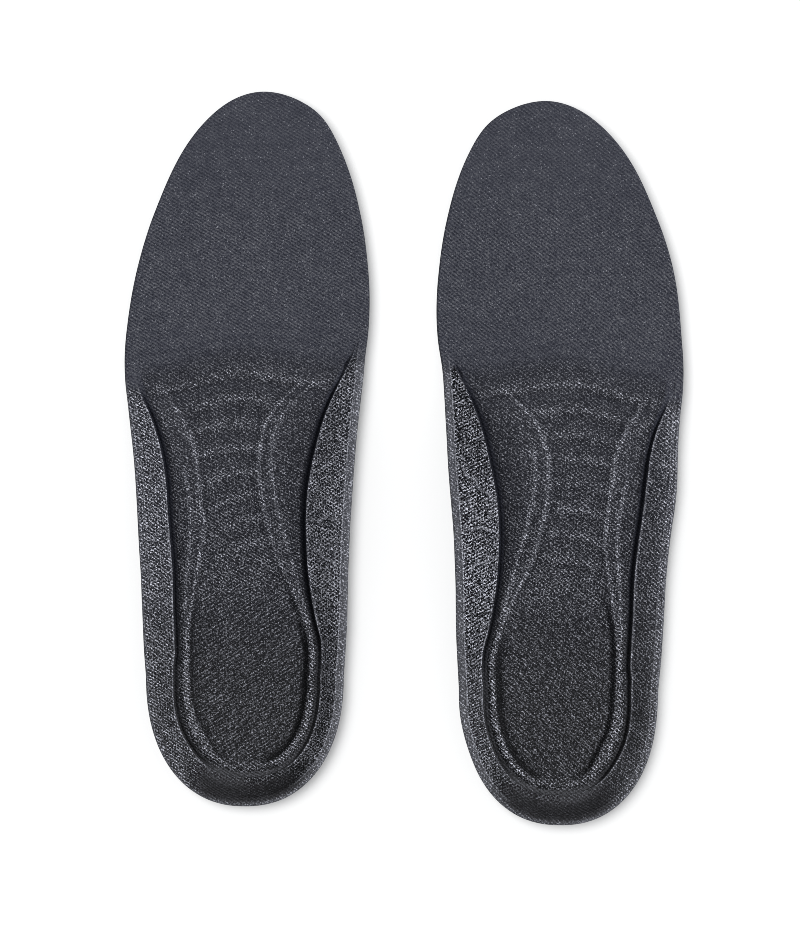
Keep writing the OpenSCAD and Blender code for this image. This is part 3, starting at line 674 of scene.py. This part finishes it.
def settle(hand, L):
    """Lift of the knit over its padding, from a short cloth simulation of the top sheet.

    The sheet is held along the rim strip, the lip, the channel and the rails, where the real cloth is pressed down,
    and lightly in front; a small pressure from the foam fills the panels between. Worked in centimetres, off stage."""
    zero = np.zeros((L.n, len(L.u))), np.zeros(L.nr)
    S = Lines(3.2, 34, 36, hand)
    sd = S.stations([1, 1, 1, 6, 1, 1, 1, 4, 1, 2, 2, 5])
    for k in range(1, sd.shape[1]):
        sd[:, k] = np.maximum(sd[:, k], sd[:, k - 1] + 0.15)
    sxy, sz = S.xy(sd), relief(S, sd)
    n, m = sz.shape
    first = {}
    for i in range(n):
        first.setdefault(int(S.spine[i]), i)
    reps = [first[r] for r in range(S.nr)]
    cz = relief(S, S.len[:, None])[reps, 0]
    pts = np.concatenate([np.concatenate([sxy, sz[..., None]], 2).reshape(-1, 3), np.concatenate([S.c[reps], cz[:, None]], 1)]) * 0.1
    faces = []
    for i in range(n):
        j = (i + 1) % n
        a, b = i * m, j * m
        pq, qq = n * m + int(S.spine[i]), n * m + int(S.spine[j])
        for k in range(m - 1):
            faces.append((a + k, b + k, b + k + 1, a + k + 1))
        faces.append((a + m - 1, b + m - 1, qq, pq) if pq != qq else (a + m - 1, b + m - 1, pq))
    me = bpy.data.meshes.new("settle")
    me.from_pydata([tuple(v) for v in pts], [], faces)
    bm = bmesh.new()
    bm.from_mesh(me)
    bmesh.ops.recalc_face_normals(bm, faces=bm.faces)
    if sum(f.normal.z for f in bm.faces) < 0:
        bmesh.ops.reverse_faces(bm, faces=bm.faces)
    bm.to_mesh(me)
    bm.free()
    ob = bpy.data.objects.new("settle", me)
    scene.collection.objects.link(ob)
    g, ro, ri, ys = (v[:, None] for v in (S.g, S.ro, S.ri, S.ys))
    crest = (0.5 + 0.5 * np.cos(2 * math.pi * (ys - RIB0 - lean(S, sd)) / RIB_PITCH)) * ramp(ys, 91, 97) * ramp(sd, ri, ri + 2)
    hold = np.maximum.reduce([1 - ramp(sd, 2.8, 3.4) + 0 * g, (np.abs(sd - g) < 1.3) * 1.0, (np.abs(sd - ro - 0.7) < 0.8) * 1.0, (np.abs(sd - ri + 0.5) < 1.0) * 1.0,
                              0.96 * ramp(ys, 158, 168) + 0 * sd, np.where(S.kind[:, None] == 2, 0.96, 0) + 0 * sd, 0.9 * crest + 0 * sd, 0.45 + 0.37 * ramp(sd, ri, ri + 1.5)])
    hold = np.where((ys > 166) & (hold > 0.5), 1.0, hold)
    hold = np.concatenate([hold.ravel(), np.where(S.ys[reps] > 160, 1.0, 0.82)])
    grp = ob.vertex_groups.new(name="hold")
    for i, w in enumerate(hold):
        grp.add([i], float(min(1.0, w)), "REPLACE")
    md = ob.modifiers.new("cloth", "CLOTH")
    st = md.settings
    st.vertex_group_mass = "hold"
    st.quality = 6
    st.mass = 0.3
    st.tension_stiffness = st.compression_stiffness = 40
    st.shear_stiffness = 20
    st.bending_stiffness = 2.0
    st.shrink_min = -0.004
    st.use_pressure = True
    st.uniform_pressure_force = 0.6
    st.effector_weights.gravity = 0.0
    md.collision_settings.use_collision = False
    md.collision_settings.use_self_collision = False
    md.point_cache.frame_start, md.point_cache.frame_end = 1, 20
    scene.frame_start, scene.frame_end = 1, 20
    for f in range(1, 21):
        scene.frame_set(f)
    ev = ob.evaluated_get(bpy.context.evaluated_depsgraph_get())
    co = np.zeros(len(pts) * 3)
    ev.data.vertices.foreach_get("co", co)
    lift = (co.reshape(-1, 3)[:, 2] - pts[:, 2]) * 10.0
    bpy.data.objects.remove(ob)
    bpy.data.meshes.remove(me)
    scene.frame_set(1)
    lift = np.clip(np.nan_to_num(lift), 0.0, None)
    lift = 0.45 * np.tanh(lift / 0.45)
    grid = np.concatenate([lift[:n * m].reshape(n, m), lift[n * m:][S.spine][:, None]], 1)
    us = np.array(S.u + [12.0])
    fine = np.stack([np.interp(L.u, us, row) for row in grid])
    order = np.argsort(S.par)
    pp = np.concatenate([S.par[order][-1:] - 4, S.par[order], S.par[order][:1] + 4])
    ff = np.concatenate([fine[order][-1:], fine[order], fine[order][:1]])
    out = np.stack([np.interp(L.par, pp, ff[:, k]) for k in range(ff.shape[1])], 1)
    core = np.interp(L.c[[int(np.argmax(L.spine == r)) for r in range(L.nr)], 1], S.c[reps][:, 1], lift[n * m:])
    return out, core


def painted_crease_shade_and_highlight(hand, x, y):
    """Painted shade along each crease and a painted highlight on its edge; the crease itself is in the geometry."""
    painted_shade_line, painted_highlight_line = np.zeros_like(x), np.zeros_like(x)
    for (x0, y0), (x1, y1), depth, width in CREASES[hand]:
        dx, dy = x1 - x0, y1 - y0
        ln = math.hypot(dx, dy)
        along = ((x - x0) * dx + (y - y0) * dy) / ln
        off = ((x - x0) * dy - (y - y0) * dx) / ln
        off = off + 0.5 * np.sin(along * 0.9 + x0)
        ends = ramp(along, -1.5, 2.0) * (1 - ramp(along, ln - 2.0, ln + 1.5))
        off = off if dx < 0 else -off
        painted_shade_line = np.maximum(painted_shade_line, ends * min(1.0, depth * 1.2) * 0.85 * np.exp(-((off + 0.35) / (0.62 * width)) ** 2))
        painted_highlight_line = np.maximum(painted_highlight_line, ends * depth * 0.62 * np.exp(-((off - 0.62) / 0.36) ** 2))
    return painted_shade_line, painted_highlight_line


def build(hand):
    m = place(hand)
    L = Lines(1.0, 110, 120, hand)
    counts = [4, 2, 3, 20, 3, 4, 4, 9, 4, 4, 5, 15]
    d = L.stations(counts)
    xy = L.xy(d)
    z = relief(L, d)
    flange = ramp(d, 3.0, 4.2) * (1 - ramp(d, L.g[:, None] - 1.6, L.g[:, None] - 0.8)) * ramp(L.rim[:, None], 8, 14) * (L.side[:, None] > 0)
    z = z + crease(hand, xy[..., 0], xy[..., 1]) * flange
    lift, lift_core = settle(hand, L)
    z = z + lift
    order = slice(None, None, -1)
    td, tz, txy = d[:, order], z[:, order], xy[:, order]      # from the spine outwards
    # arc length from the spine, for the knit
    seg = np.hypot(np.hypot(*(np.diff(txy, axis=1).transpose(2, 0, 1))), np.diff(tz, axis=1))
    flat = np.hypot(*(np.diff(txy, axis=1).transpose(2, 0, 1)))
    arc = np.concatenate([np.zeros((L.n, 1)), np.cumsum(0.45 * seg + 0.55 * flat, axis=1)], 1)
    pl = np.concatenate([np.zeros((L.n, 1)), np.cumsum(flat, axis=1)], 1)
    grow = arc - pl
    dirn = (txy[:, -1] - txy[:, 0])
    dirn /= np.hypot(*dirn.T)[:, None]
    wv = txy + dirn[:, None, :] * grow[..., None]
    # spine heights come from the row's own floor
    first = {}
    for i in range(L.n):
        first.setdefault(int(L.spine[i]), i)
    rep = np.array([first[r] for r in range(L.nr)])
    core = L.c[rep]
    zc = relief(L, L.len[:, None])[rep, 0] + lift_core
    # ---- cloth
    g, rim, w = L.g[:, None], L.rim[:, None], L.w[:, None]
    tall = ramp(rim, FORE_T, 9.0)
    wall_d = np.zeros((L.n, 3))
    wall_z = tz[:, -1:] - np.array([[0.25, 0.55, 0.82]]) * CLOTH_T
    wall_xy = L.xy(wall_d - np.array([[0.06, 0.06, 0.0]]))
    bot = (tz - lift[:, order])[:, order] - CLOTH_T
    bot[:, 0] = tz[:, -1] - CLOTH_T
    zz = np.concatenate([tz, wall_z, bot], 1)
    xx = np.concatenate([txy, wall_xy, txy[:, order]], 1)
    verts, faces = loft("c", L, xx, zz, core, (zc, zc - lift_core - CLOTH_T))
    heelk, s_, ys_ = L.kind[:, None] == 1, L.s[:, None], L.ys[:, None]
    inner = L.side[:, None] > 0
    ro, ri, back = L.ro[:, None], L.ri[:, None], L.back[:, None]
    toe = L.kind[:, None] == 2
    left = hand == "left"
    rear = np.where(toe, 0, 1 - 0.62 * ramp(ys_, 166.5, 177) - 0.38 * ramp(ys_, 170, 188)) + 0 * td
    # the flat knit ahead of the waist is even; the sculpted bed is opened up a little
    fore_bed = ramp(ys_, 100, 150)
    stretch = 0.06 + 0.30 * rear * (0.95 - 0.15 * fore_bed - 0.16 * ramp(ys_, 150, 164)) * ramp(td, g + 0.6, g + 2.5)
    stretch = np.where(toe | (ys_ > 188), 0.06, stretch)
    on_fl = np.where(inner, ramp(td, 2.5, 2.9), ramp(td, 0.1, 0.7)) * (1 - ramp(td, g - 0.45, g - 0.2)) * tall * ramp(g, 4.4, 6)
    fl = np.where(inner, 0.91 if left else 0.67 + 0.12 * ramp(ys_, 50, 76), 0.65 if left else 0.50) * (1 - 0.55 * back) * (np.where(inner | (not left), 0.78, 0.68) + np.where(inner | (not left), 0.22, 0.32) * ramp(ys_, 78, 92))
    # towards the front the cloth on the flanges is less opened up
    fl = fl * np.where(inner, 1 - (0.36 if left else 0.31) * ramp(ys_, 122 if left else 112, 154 if left else 146) + (0.12 if left else 0.22) * (1 - ramp(ys_, 80, 96)) * ramp(ys_, 50, 76), 1.0)
    stretch = stretch * (1 - on_fl) + fl * on_fl
    stretch = stretch + np.where(inner, 0.40, 0.10) * tall * (1 - 0.4 * back) * (1 - ramp(td, 2.3, 2.6))
    v = np.clip((td - ro) / np.maximum(ri - ro, 2.6), 0, 1)
    wr = np.where(heelk | toe, 0, ramp(ys_, 64, 80)) * (1 - ramp(ys_, 158, 169))
    ra = L.ra[:, None]
    ridges = (ra * gauss(td, ro + 0.7, 0.62) + gauss(td, ri - 0.5, 0.62)) * (0.8 if left else 1.0)
    ring = np.where(heelk, 0.12 + 0.88 * ramp(s_, 5, 20), np.where(toe, 0, 1 - ramp(ys_, 62, 82)))
    bead = np.sin(math.pi * v) ** 1.5 * ring
    ph = (ys_ - RIB0 - lean(L, td)) / RIB_PITCH
    on = np.where(heelk | toe, 0, ramp(ys_, 91.5, 97.5)) * (1 - ramp(ys_, RIB0 + (RIBS - 1) * RIB_PITCH + 1.5, RIB0 + (RIBS - 1) * RIB_PITCH + 6))
    across = np.maximum(ramp(td, ri - 0.3, ri + 2.6), ramp(ys_, 150, 160) * ramp(td, g + 2.0, g + 6.0))
    crest = (0.5 + 0.5 * np.cos(2 * math.pi * (ph - 0.04))) ** 2.6
    ribs = on * across
    # the knit opens over the rails, the heel ring and the rib crests; on them this is also a painted highlight
    stretch = stretch + (0.42 if left else 0.50) * wr * ridges + np.where(inner, 0.46, 0.46) * bead + ribs * (0.17 * crest - 0.03)
    lipb = gauss(td, g - 0.62, 0.36) * w
    press = tall * (1 - ramp(td, 2.3, 2.6)) * np.where(inner, 1.0 - 0.75 * back, 0.15 * (1 - back))
    press = press + on_fl * np.where(inner, 0.0 if left else -0.42 * ramp(ys_, 50, 76), 0.02 if left else 0.22 + 0.10 * (1 - ramp(ys_, 70, 100)))
    press = press + np.where(toe, 0, rear) * ramp(td, g + 1.5, g + 4.0) * (0.07 + 0.17 * fore_bed)
    # painted highlights: the lip, a line along the rim strip, the outer edge, the rim at the heel back and the rails
    painted_highlight = np.where(inner, np.where(ys_ < 75, 0.42, 0.15), 0.30) * w * gauss(td, g - 0.66, 0.22) + np.where(inner, 0.46 if left else 0.60, 0.12) * tall * (1 - back) * gauss(td, 2.75, 0.20) + 0.14 * tall * np.where(inner, 0.6, 1.25 - 0.4 * back) * (1 - ramp(td, 0.3, 1.1)) + 0.055 * tall * back * (1 - ramp(td, 0.4, 2.4)) + 0.05 * wr * ridges
    painted_highlight = painted_highlight * (0.75 + 0.5 * np.sin(0.7 * xy[:, order][..., 1] + 1.3 * np.sin(0.23 * xy[:, order][..., 1])) ** 2)
    # painted shade where the cloth dives into a channel
    painted_channel_shade = np.where(td > g - 0.40, np.exp(-np.maximum(td - g - 0.3, 0) / np.where(inner, np.where(heelk, 0.75, 1.0), 1.1 + 0.5 * (1 - ramp(ys_, 60, 90)))), 0) * w * np.where(inner, 0.90, 0.74 + 0.14 * ramp(ys_, 62, 80))
    hol = L.hollow[:, None] * (1 - ramp(ys_, 74, 88)) * (~toe)
    # painted shade on the steep wall of the heel recess
    wall_w = np.where(inner, 1.8, 1.0)
    painted_recess_wall_shade = hol * ramp(td, ri - 0.8, ri - 0.1) * (1 - ramp(td, ri + wall_w - 0.4, ri + wall_w + 1.3)) * np.where(inner, 0.92 * (1 - ramp(ys_, 62, 76)), 0.80) * np.where(heelk, 0.3 + 0.7 * ramp(s_, 2, 14), 1)
    # painted shade on the inner wall at the back of the heel
    painted_heel_back_shade = back ** 1.3 * ramp(td, 0.7, 1.6) * (1 - ramp(td, 6.0, 10.5)) * 0.61
    # painted shade over the floor of the heel recess
    painted_recess_floor_shade = hol * ramp(td, ri + 1, ri + 3) * 0.29
    # painted shade in the valleys between the ribs
    low = ribs * 0.24 * (1 - crest) * (0.45 + 0.55 * ramp(ys_, 100, 140))
    # painted shade in the channel between the two rails
    between = wr * gauss(td, (ro + ri) / 2, 0.26 * np.maximum(ri - ro, 2.6)) * 0.26 * ra
    # painted shade beside the rails
    beside = wr * (gauss(td, ri + 1.5, 0.9) * 0.34 + gauss(td, ro - 1.0, 0.9) * 0.30 * ra)
    # the arch side of the bed lies in the shade of the flange
    # painted shade: soft dark bands across the front of the sculpted bed and just ahead of it
    painted_front_band_shade = np.where(toe | heelk, 0, gauss(ys_, 169.6, 2.5) * 0.22 + gauss(ys_, 173.4, 0.9) * 0.20 + gauss(ys_, 178.0, 0.9) * 0.15 + gauss(ys_, 182.8, 1.0) * 0.09) * ramp(td, 3, 9)
    shade = np.where(inner, 0.42, 0.20) * (1 - hol) * np.where(heelk | toe, 0, 1 - ramp(ys_, 150, 166)) * ramp(td, g + 0.2, g + 0.6) * (1 - ramp(td, g + 0.5 * (ro - g), ro + 1.0))
    # all the painted shade, in one mask
    painted_shade = 1 - (1 - painted_channel_shade) * (1 - painted_recess_wall_shade) * (1 - painted_heel_back_shade) * (1 - painted_recess_floor_shade) * (1 - low) * (1 - between) * (1 - beside) * (1 - shade) * (1 - painted_front_band_shade)
    # painted shade and painted highlights along the flange creases
    painted_crease_shade, painted_crease_highlight = painted_crease_shade_and_highlight(hand, txy[..., 0], txy[..., 1])
    flg = flange[:, order]
    painted_shade = np.clip(1 - (1 - painted_shade) * (1 - painted_crease_shade * flg), 0, 1)
    painted_highlight = painted_highlight + painted_crease_highlight * flg
    stretch = stretch * (1 - 0.7 * painted_heel_back_shade)
    floor_bias = 0.96 if left else 0.04
    bed_bias = 0.22 + (floor_bias - 0.22) * hol * ramp(td, ri, ri + 2)
    bias = np.where(inner, 0.45 if left else 0.75, 0.15) * on_fl + (1 - on_fl) * bed_bias
    pad = lambda a, fill: np.concatenate([a, np.repeat(a[:, -1:], 3, 1), a[:, order]], 1)
    wv3 = np.concatenate([pad(wv, 0), np.zeros((L.n, pad(td, 0).shape[1], 1))], 2)
    wall_grow = np.array([0.3, 0.6, 0.85])
    wv3[:, td.shape[1]:td.shape[1] + 3, :2] += dirn[:, None, :] * wall_grow[None, :, None]
    spine_w = np.concatenate([core, np.zeros((L.nr, 1))], 1)
    weave = np.concatenate([wv3.reshape(-1, 3), spine_w, spine_w])

    def flat_attr(a):
        c = a[rep, 0]
        return np.concatenate([pad(a, 0).ravel(), c, c])
    # the knit's attributes include the painted shade and the painted highlights
    attrs = {"weave": weave, "stretch": flat_attr(stretch), "dark": flat_attr(painted_shade), "press": flat_attr(press), "bias": flat_attr(bias), "painted_highlight": flat_attr(painted_highlight),
             "floor": flat_attr(hol * ramp(td, ri, ri + 2)), "quiet": flat_attr(1 - 0.38 * ramp(txy[..., 1], 215, 250))}
    cover = make_object(f"{hand}_top_cover", verts, faces, cloth_l if hand == "left" else cloth_r, attrs)

    # ---- soft foam cushion
    C = Lines(2.0, 60, 70, hand)
    cd = C.stations([2, 1, 1, 4, 2, 3, 2, 4, 2, 2, 2, 7])
    cxy = C.xy(cd)
    ct = relief(C, cd)
    ct[:, 0] = np.maximum(ct[:, 0], C.rim - 1.0)
    cu = under(C, cd)
    top = ct - CLOTH_T - 0.04
    mid = cu + (ct - CLOTH_T - cu) * share(C)
    o2 = slice(None, None, -1)
    tz2, txy2, low2 = top[:, o2], cxy[:, o2], mid[:, o2]
    a, bz = tz2[:, -1:], low2[:, -1:]
    edge_t = relief(C, np.zeros((C.n, 1)))- CLOTH_T - 0.05
    tz2[:, -1:] = edge_t
    a = edge_t
    f = np.array([[0.12, 0.35, 0.6, 0.82, 0.95]])
    wz = a + (bz + 0.25 - a) * f
    wxy = C.xy(-np.array([[0.02, 0.14, 0.16, 0.05, -0.22]]) + 0 * wz)
    low2 = low2.copy()
    lowd = cd[:, o2].copy()
    lowd[:, -1] = 0.45
    lxy = C.xy(lowd)
    zz = np.concatenate([tz2, wz, low2[:, ::-1]], 1)
    xx = np.concatenate([txy2, wxy, lxy[:, ::-1]], 1)
    first = {}
    for i in range(C.n):
        first.setdefault(int(C.spine[i]), i)
    rep2 = np.array([first[r] for r in range(C.nr)])
    zc2 = relief(C, C.len[:, None])[rep2, 0]
    sh = share(C)[rep2, 0]
    verts, faces = loft("f", C, xx, zz, C.c[rep2], (zc2 - CLOTH_T - 0.04, (zc2 - CLOTH_T) * sh))
    uv = np.concatenate([np.asarray(verts)[:, :2] * 1.0, np.asarray(verts)[:, 2:]], 1)
    cushion = make_object(f"{hand}_cushion", verts, faces, foam, {"weave": uv})

    # ---- firm moulded base under the rear
    bd = np.maximum(C.stations([2, 1, 1, 6, 2, 3, 2, 4, 2, 2, 2, 7]), 0)
    bd = 1.2 + bd * (C.len[:, None] - 1.2) / C.len[:, None]
    bxy = C.xy(bd)
    bt = relief(C, bd)
    bu = under(C, bd)
    topb = bu + (bt - CLOTH_T - bu) * share(C) - 0.05
    keep = C.kind != 2
    lim = C.ys <= 168.01
    use = keep & lim
    ids = np.nonzero(use)[0]
    # flex channels across the underside of the arch
    ys = C.ys[:, None]
    chan = np.zeros_like(bu)
    for y0 in np.arange(104, 158, 9.0):
        chan += 0.8 * gauss(ys, y0, 1.4)
    chan *= np.where(C.kind[:, None] == 0, 1, 0) * ramp(bd, C.foot[:, None] + 3, C.foot[:, None] + 6)
    bu = bu + chan
    thick = np.maximum(topb - bu, 0.12)
    topb = bu + thick
    tz3, txy3, low3 = topb[:, ::-1], bxy[:, ::-1], bu[:, ::-1]
    f = np.array([[0.15, 0.5, 0.85]])
    wz = tz3[:, -1:] + (low3[:, -1:] - tz3[:, -1:]) * f
    wxy = C.xy(1.2 - np.array([[0.12, 0.2, 0.12]]) + 0 * wz)
    zz = np.concatenate([tz3, wz, low3[:, ::-1]], 1)
    xx = np.concatenate([txy3, wxy, bxy], 1)
    zb = (zc2 - CLOTH_T) * sh - 0.05
    ch2 = chan[rep2, -1]
    zl = ch2
    verts, faces = loft("b", C, xx, zz, C.c[rep2], (np.maximum(zb, zl + 0.12), zl), keep=[i for i in range(C.n) if use[i] and use[(i + 1) % C.n]])
    # front end: close it between the two last rows
    mlen = zz.shape[1]
    ia, ib = int(ids[0]), int(ids[-1])
    base_t = C.n * mlen
    base_l = base_t + C.nr
    r = int(C.spine[ia])
    ring = [ia * mlen + k for k in range(mlen)] + [base_l + r] + [ib * mlen + k for k in range(mlen - 1, -1, -1)] + [base_t + r]
    nt_ = len(tz3[0])
    for (i0, flip) in ((ia, False), (ib, True)):
        col = lambda k: i0 * mlen + k
        # pair the top and bottom stations
        prev = (base_t + r, base_l + r)
        for k in range(nt_):
            cur = (col(k), col(mlen - 1 - k))
            q = (prev[0], cur[0], cur[1], prev[1])
            faces.append(q if flip else q[::-1])
            prev = cur
        tail = [col(k) for k in range(nt_ - 1, mlen - nt_ + 1)]
        faces.append(tuple(tail if flip else tail[::-1]))
    uv = np.asarray(verts, float)
    base = make_object(f"{hand}_support_base", verts, faces, firm, {"weave": uv})

    # pocket for the heel pad, cut into the underside
    px, py, pa, pb = 1.4, 52.0, 17.2, 26.2
    bm = bmesh.new()
    ring0, ring1 = [], []
    for k in range(96):
        t = 2 * math.pi * k / 96
        x, y = px + pa * math.cos(t), py + pb * math.sin(t)
        ring0.append(bm.verts.new((x * MM, y * MM, -0.001)))
        ring1.append(bm.verts.new((x * MM, y * MM, 0.00168)))
    bm.faces.new(ring0[::-1]); bm.faces.new(ring1)
    for k in range(96):
        bm.faces.new((ring0[k], ring0[(k + 1) % 96], ring1[(k + 1) % 96], ring1[k]))
    me = bpy.data.meshes.new("cut")
    bm.to_mesh(me); bm.free()
    cut = bpy.data.objects.new("cut", me)
    scene.collection.objects.link(cut)
    md = base.modifiers.new("pocket", "BOOLEAN")
    md.operation, md.solver, md.object = "DIFFERENCE", "EXACT", cut
    bpy.context.view_layer.update()
    dg = bpy.context.evaluated_depsgraph_get()
    new = bpy.data.meshes.new_from_object(base.evaluated_get(dg))
    base.modifiers.clear()
    base.data = new
    bpy.data.objects.remove(cut)

    # ---- oval heel pad: a low crowned pad with a field of small round dimples on the side that shows
    rings = 26
    seg_n = 120
    pv, pf = [], []
    for j in range(rings + 1):
        rr = j / rings
        for k in range(seg_n):
            t = 2 * math.pi * k / seg_n
            x, y = px + 16.9 * rr * math.cos(t), py + 25.9 * rr * math.sin(t)
            edge = 0.25 * max(0.0, (rr - 0.93) / 0.07) ** 2
            hx = (math.cos(2 * math.pi * x / 3.6) + math.cos(2 * math.pi * (0.5 * x + 0.866 * y) / 3.6) + math.cos(2 * math.pi * (0.5 * x - 0.866 * y) / 3.6))
            dim = 0.30 * float(ramp(hx, 0.2, 2.2)) * (1 if rr < 0.9 else 0)
            pv.append((x, y, 0.12 + edge + dim))
    low_n = len(pv)
    for k in range(seg_n):
        t = 2 * math.pi * k / seg_n
        pv.append((px + 16.9 * math.cos(t), py + 25.9 * math.sin(t), 1.62))
    ctop = len(pv)
    pv.append((px, py, 1.62))
    for j in range(rings):
        for k in range(seg_n):
            a0, a1 = j * seg_n + k, j * seg_n + (k + 1) % seg_n
            pf.append((a0, a1, a1 + seg_n, a0 + seg_n))
    for k in range(seg_n):
        a0, a1 = rings * seg_n + k, rings * seg_n + (k + 1) % seg_n
        pf.append((a0, a1, low_n + (k + 1) % seg_n, low_n + k))
        pf.append((low_n + k, low_n + (k + 1) % seg_n, ctop))
    padob = make_object(f"{hand}_heel_pad", np.array(pv), pf, gel, {"weave": np.array(pv)})
    bm = bmesh.new(); bm.from_mesh(padob.data)
    bmesh.ops.remove_doubles(bm, verts=bm.verts, dist=1e-6)
    bmesh.ops.recalc_face_normals(bm, faces=bm.faces)
    bm.to_mesh(padob.data); bm.free()

    for ob in (cover, cushion, base, padob):
        put(ob, m, hand)
    return cover, cushion, base, padob, m


FLEX_TAN = math.tan(math.radians(13))
pieces = {}
for hand in ("left", "right"):
    cover, cushion, base, pad, m = build(hand)
    rear, fore = f"{hand}_rear", f"{hand}_forefoot"
    joint = next(j for j in frame["joints"] if j["child"] == fore)
    pos = Vector(joint["pos_m"])
    ax = Vector(joint["axis"]).normalized()
    ahead = Vector((0, 0, 1)).cross(ax).normalized()
    if ahead.y < 0:
        ahead = -ahead
    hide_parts(f"{hand}_top_cover_rear", f"{hand}_top_cover_forefoot")
    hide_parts(f"{hand}_cushion_rear", f"{hand}_cushion_forefoot")
    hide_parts(f"{hand}_support_base")
    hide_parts(f"{hand}_heel_pad")
    for ob in (cover, cushion):
        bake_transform(ob)
    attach(base, rear)
    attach(pad, rear)
    pieces[hand] = (cover, cushion, base, pad)

# ------------------------------------------------------------------ stage, light and camera
me = bpy.data.meshes.new("floor")
s = 3.0
me.from_pydata([(-s, -s, -0.0002), (s, -s, -0.0002), (s, s, -0.0002), (-s, s, -0.0002)], [], [(0, 1, 2, 3)])
floor = bpy.data.objects.new("floor", me)
scene.collection.objects.link(floor)
fmat, fnt, fb = nodes_of("floor_white")
fb.inputs["Base Color"].default_value = (0.50, 0.50, 0.50, 1)
fb.inputs["Roughness"].default_value = 0.9
fb.inputs["Specular IOR Level"].default_value = 0.0
path = fnt.nodes.new("ShaderNodeLightPath")
glow = fnt.nodes.new("ShaderNodeEmission")
glow.inputs[0].default_value = (0.97, 0.985, 1.0, 1)
fnt.links.new(Net(fnt).math("MULTIPLY", path.outputs["Is Camera Ray"], 0.25), glow.inputs[1])
both_ = fnt.nodes.new("ShaderNodeAddShader")
fnt.links.new(fb.outputs[0], both_.inputs[0])
fnt.links.new(glow.outputs[0], both_.inputs[1])
fnt.links.new(both_.outputs[0], [n for n in fnt.nodes if n.type == "OUTPUT_MATERIAL"][0].inputs[0])
me.materials.append(fmat)

world = bpy.data.worlds.new("studio")
scene.world = world
world.use_nodes = True
bg = world.node_tree.nodes["Background"]
bg.inputs[0].default_value = (1.0, 1.0, 1.0, 1)
seen = world.node_tree.nodes.new("ShaderNodeLightPath")
wm = Net(world.node_tree)
world.node_tree.links.new(wm.math("MULTIPLY_ADD", seen.outputs["Is Camera Ray"], 0.42, 0.60), bg.inputs[1])


def sun(name, energy, angle, az, el, receivers=None, blockers=None):
    l = bpy.data.lights.new(name, "SUN")
    l.energy = energy
    l.angle = math.radians(angle)
    o = bpy.data.objects.new(name, l)
    a, e = math.radians(az), math.radians(el)
    v = Vector((math.cos(e) * math.cos(a), math.cos(e) * math.sin(a), math.sin(e)))
    o.rotation_mode = "QUATERNION"
    o.rotation_quaternion = v.to_track_quat("Z", "Y")
    o.location = v
    scene.collection.objects.link(o)
    if receivers is not None:
        coll = bpy.data.collections.new(name + "_set")
        for r in receivers:
            coll.objects.link(r)
        o.light_linking.receiver_collection = coll
    if blockers is not None:
        coll = bpy.data.collections.new(name + "_cards")
        for r in blockers:
            coll.objects.link(r)
        o.light_linking.blocker_collection = coll
    return o


goods = [o for h in pieces.values() for o in h]
# thin cards of each insole's outline give the even, narrow shadow of a light table; they move with the insoles
cards = []
for hand in ("left", "right"):
    L = Lines(2.0, 60, 70)
    m = place(hand)
    for part in ("rear", "forefoot"):
        if part == "rear":
            idx = [i for i in range(L.n) if L.e[i, 1] < 188]
        else:
            idx = [i for i in range(L.n) if L.e[i, 1] > 184]
        if part == "forefoot":
            start_ = next(k for k in range(L.n) if L.e[k, 1] <= 184 and L.e[(k + 1) % L.n, 1] > 184)
            idx = [(start_ + 1 + k) % L.n for k in range(len(idx))]
        me = bpy.data.meshes.new("card")
        ex, ey = spread(hand, L.e[:, 0], L.e[:, 1])
        me.from_pydata([tuple(m @ Vector((ex[i] * MM, ey[i] * MM, 0.0048))) for i in idx], [], [tuple(range(len(idx)))])
        card = bpy.data.objects.new(f"shadow_card_{hand}_{part}", me)
        scene.collection.objects.link(card)
        for flag in ("visible_camera", "visible_diffuse", "visible_glossy", "visible_transmission", "visible_volume_scatter"):
            setattr(card, flag, False)
        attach(card, f"{hand}_{part}")
        cards.append(card)
sun("floor_key", 3.9, 47, 148, 62, [floor], cards)
sun("soft_key", 2.0, 16, 20, 54, goods)

cam_data = bpy.data.cameras.new("camera")
cam = bpy.data.objects.new("camera", cam_data)
scene.collection.objects.link(cam)
scene.camera = cam
centre = (cad_lo + cad_hi) / 2
target = Vector((centre.x - 0.001915, centre.y - 0.003472, 0.007))
tilt = math.radians(2.0)
dist = 2.6
cam.location = target + Vector((0, -math.sin(tilt), math.cos(tilt))) * dist
cam.rotation_mode = "QUATERNION"
cam.rotation_quaternion = (cam.location - target).to_track_quat("Z", "Y")
cam_data.sensor_fit = "AUTO"
cam_data.sensor_width = 36.0
cam_data.lens = 36.0 * dist / (933 * 0.3755 * MM)
cam_data.clip_start, cam_data.clip_end = 0.05, 20

scene.cycles.filter_width = 0.85
scene.cycles.denoising_prefilter = "NONE"  # keeps the knit crisp
scene.view_settings.view_transform = "Standard"
scene.view_settings.look = "None"
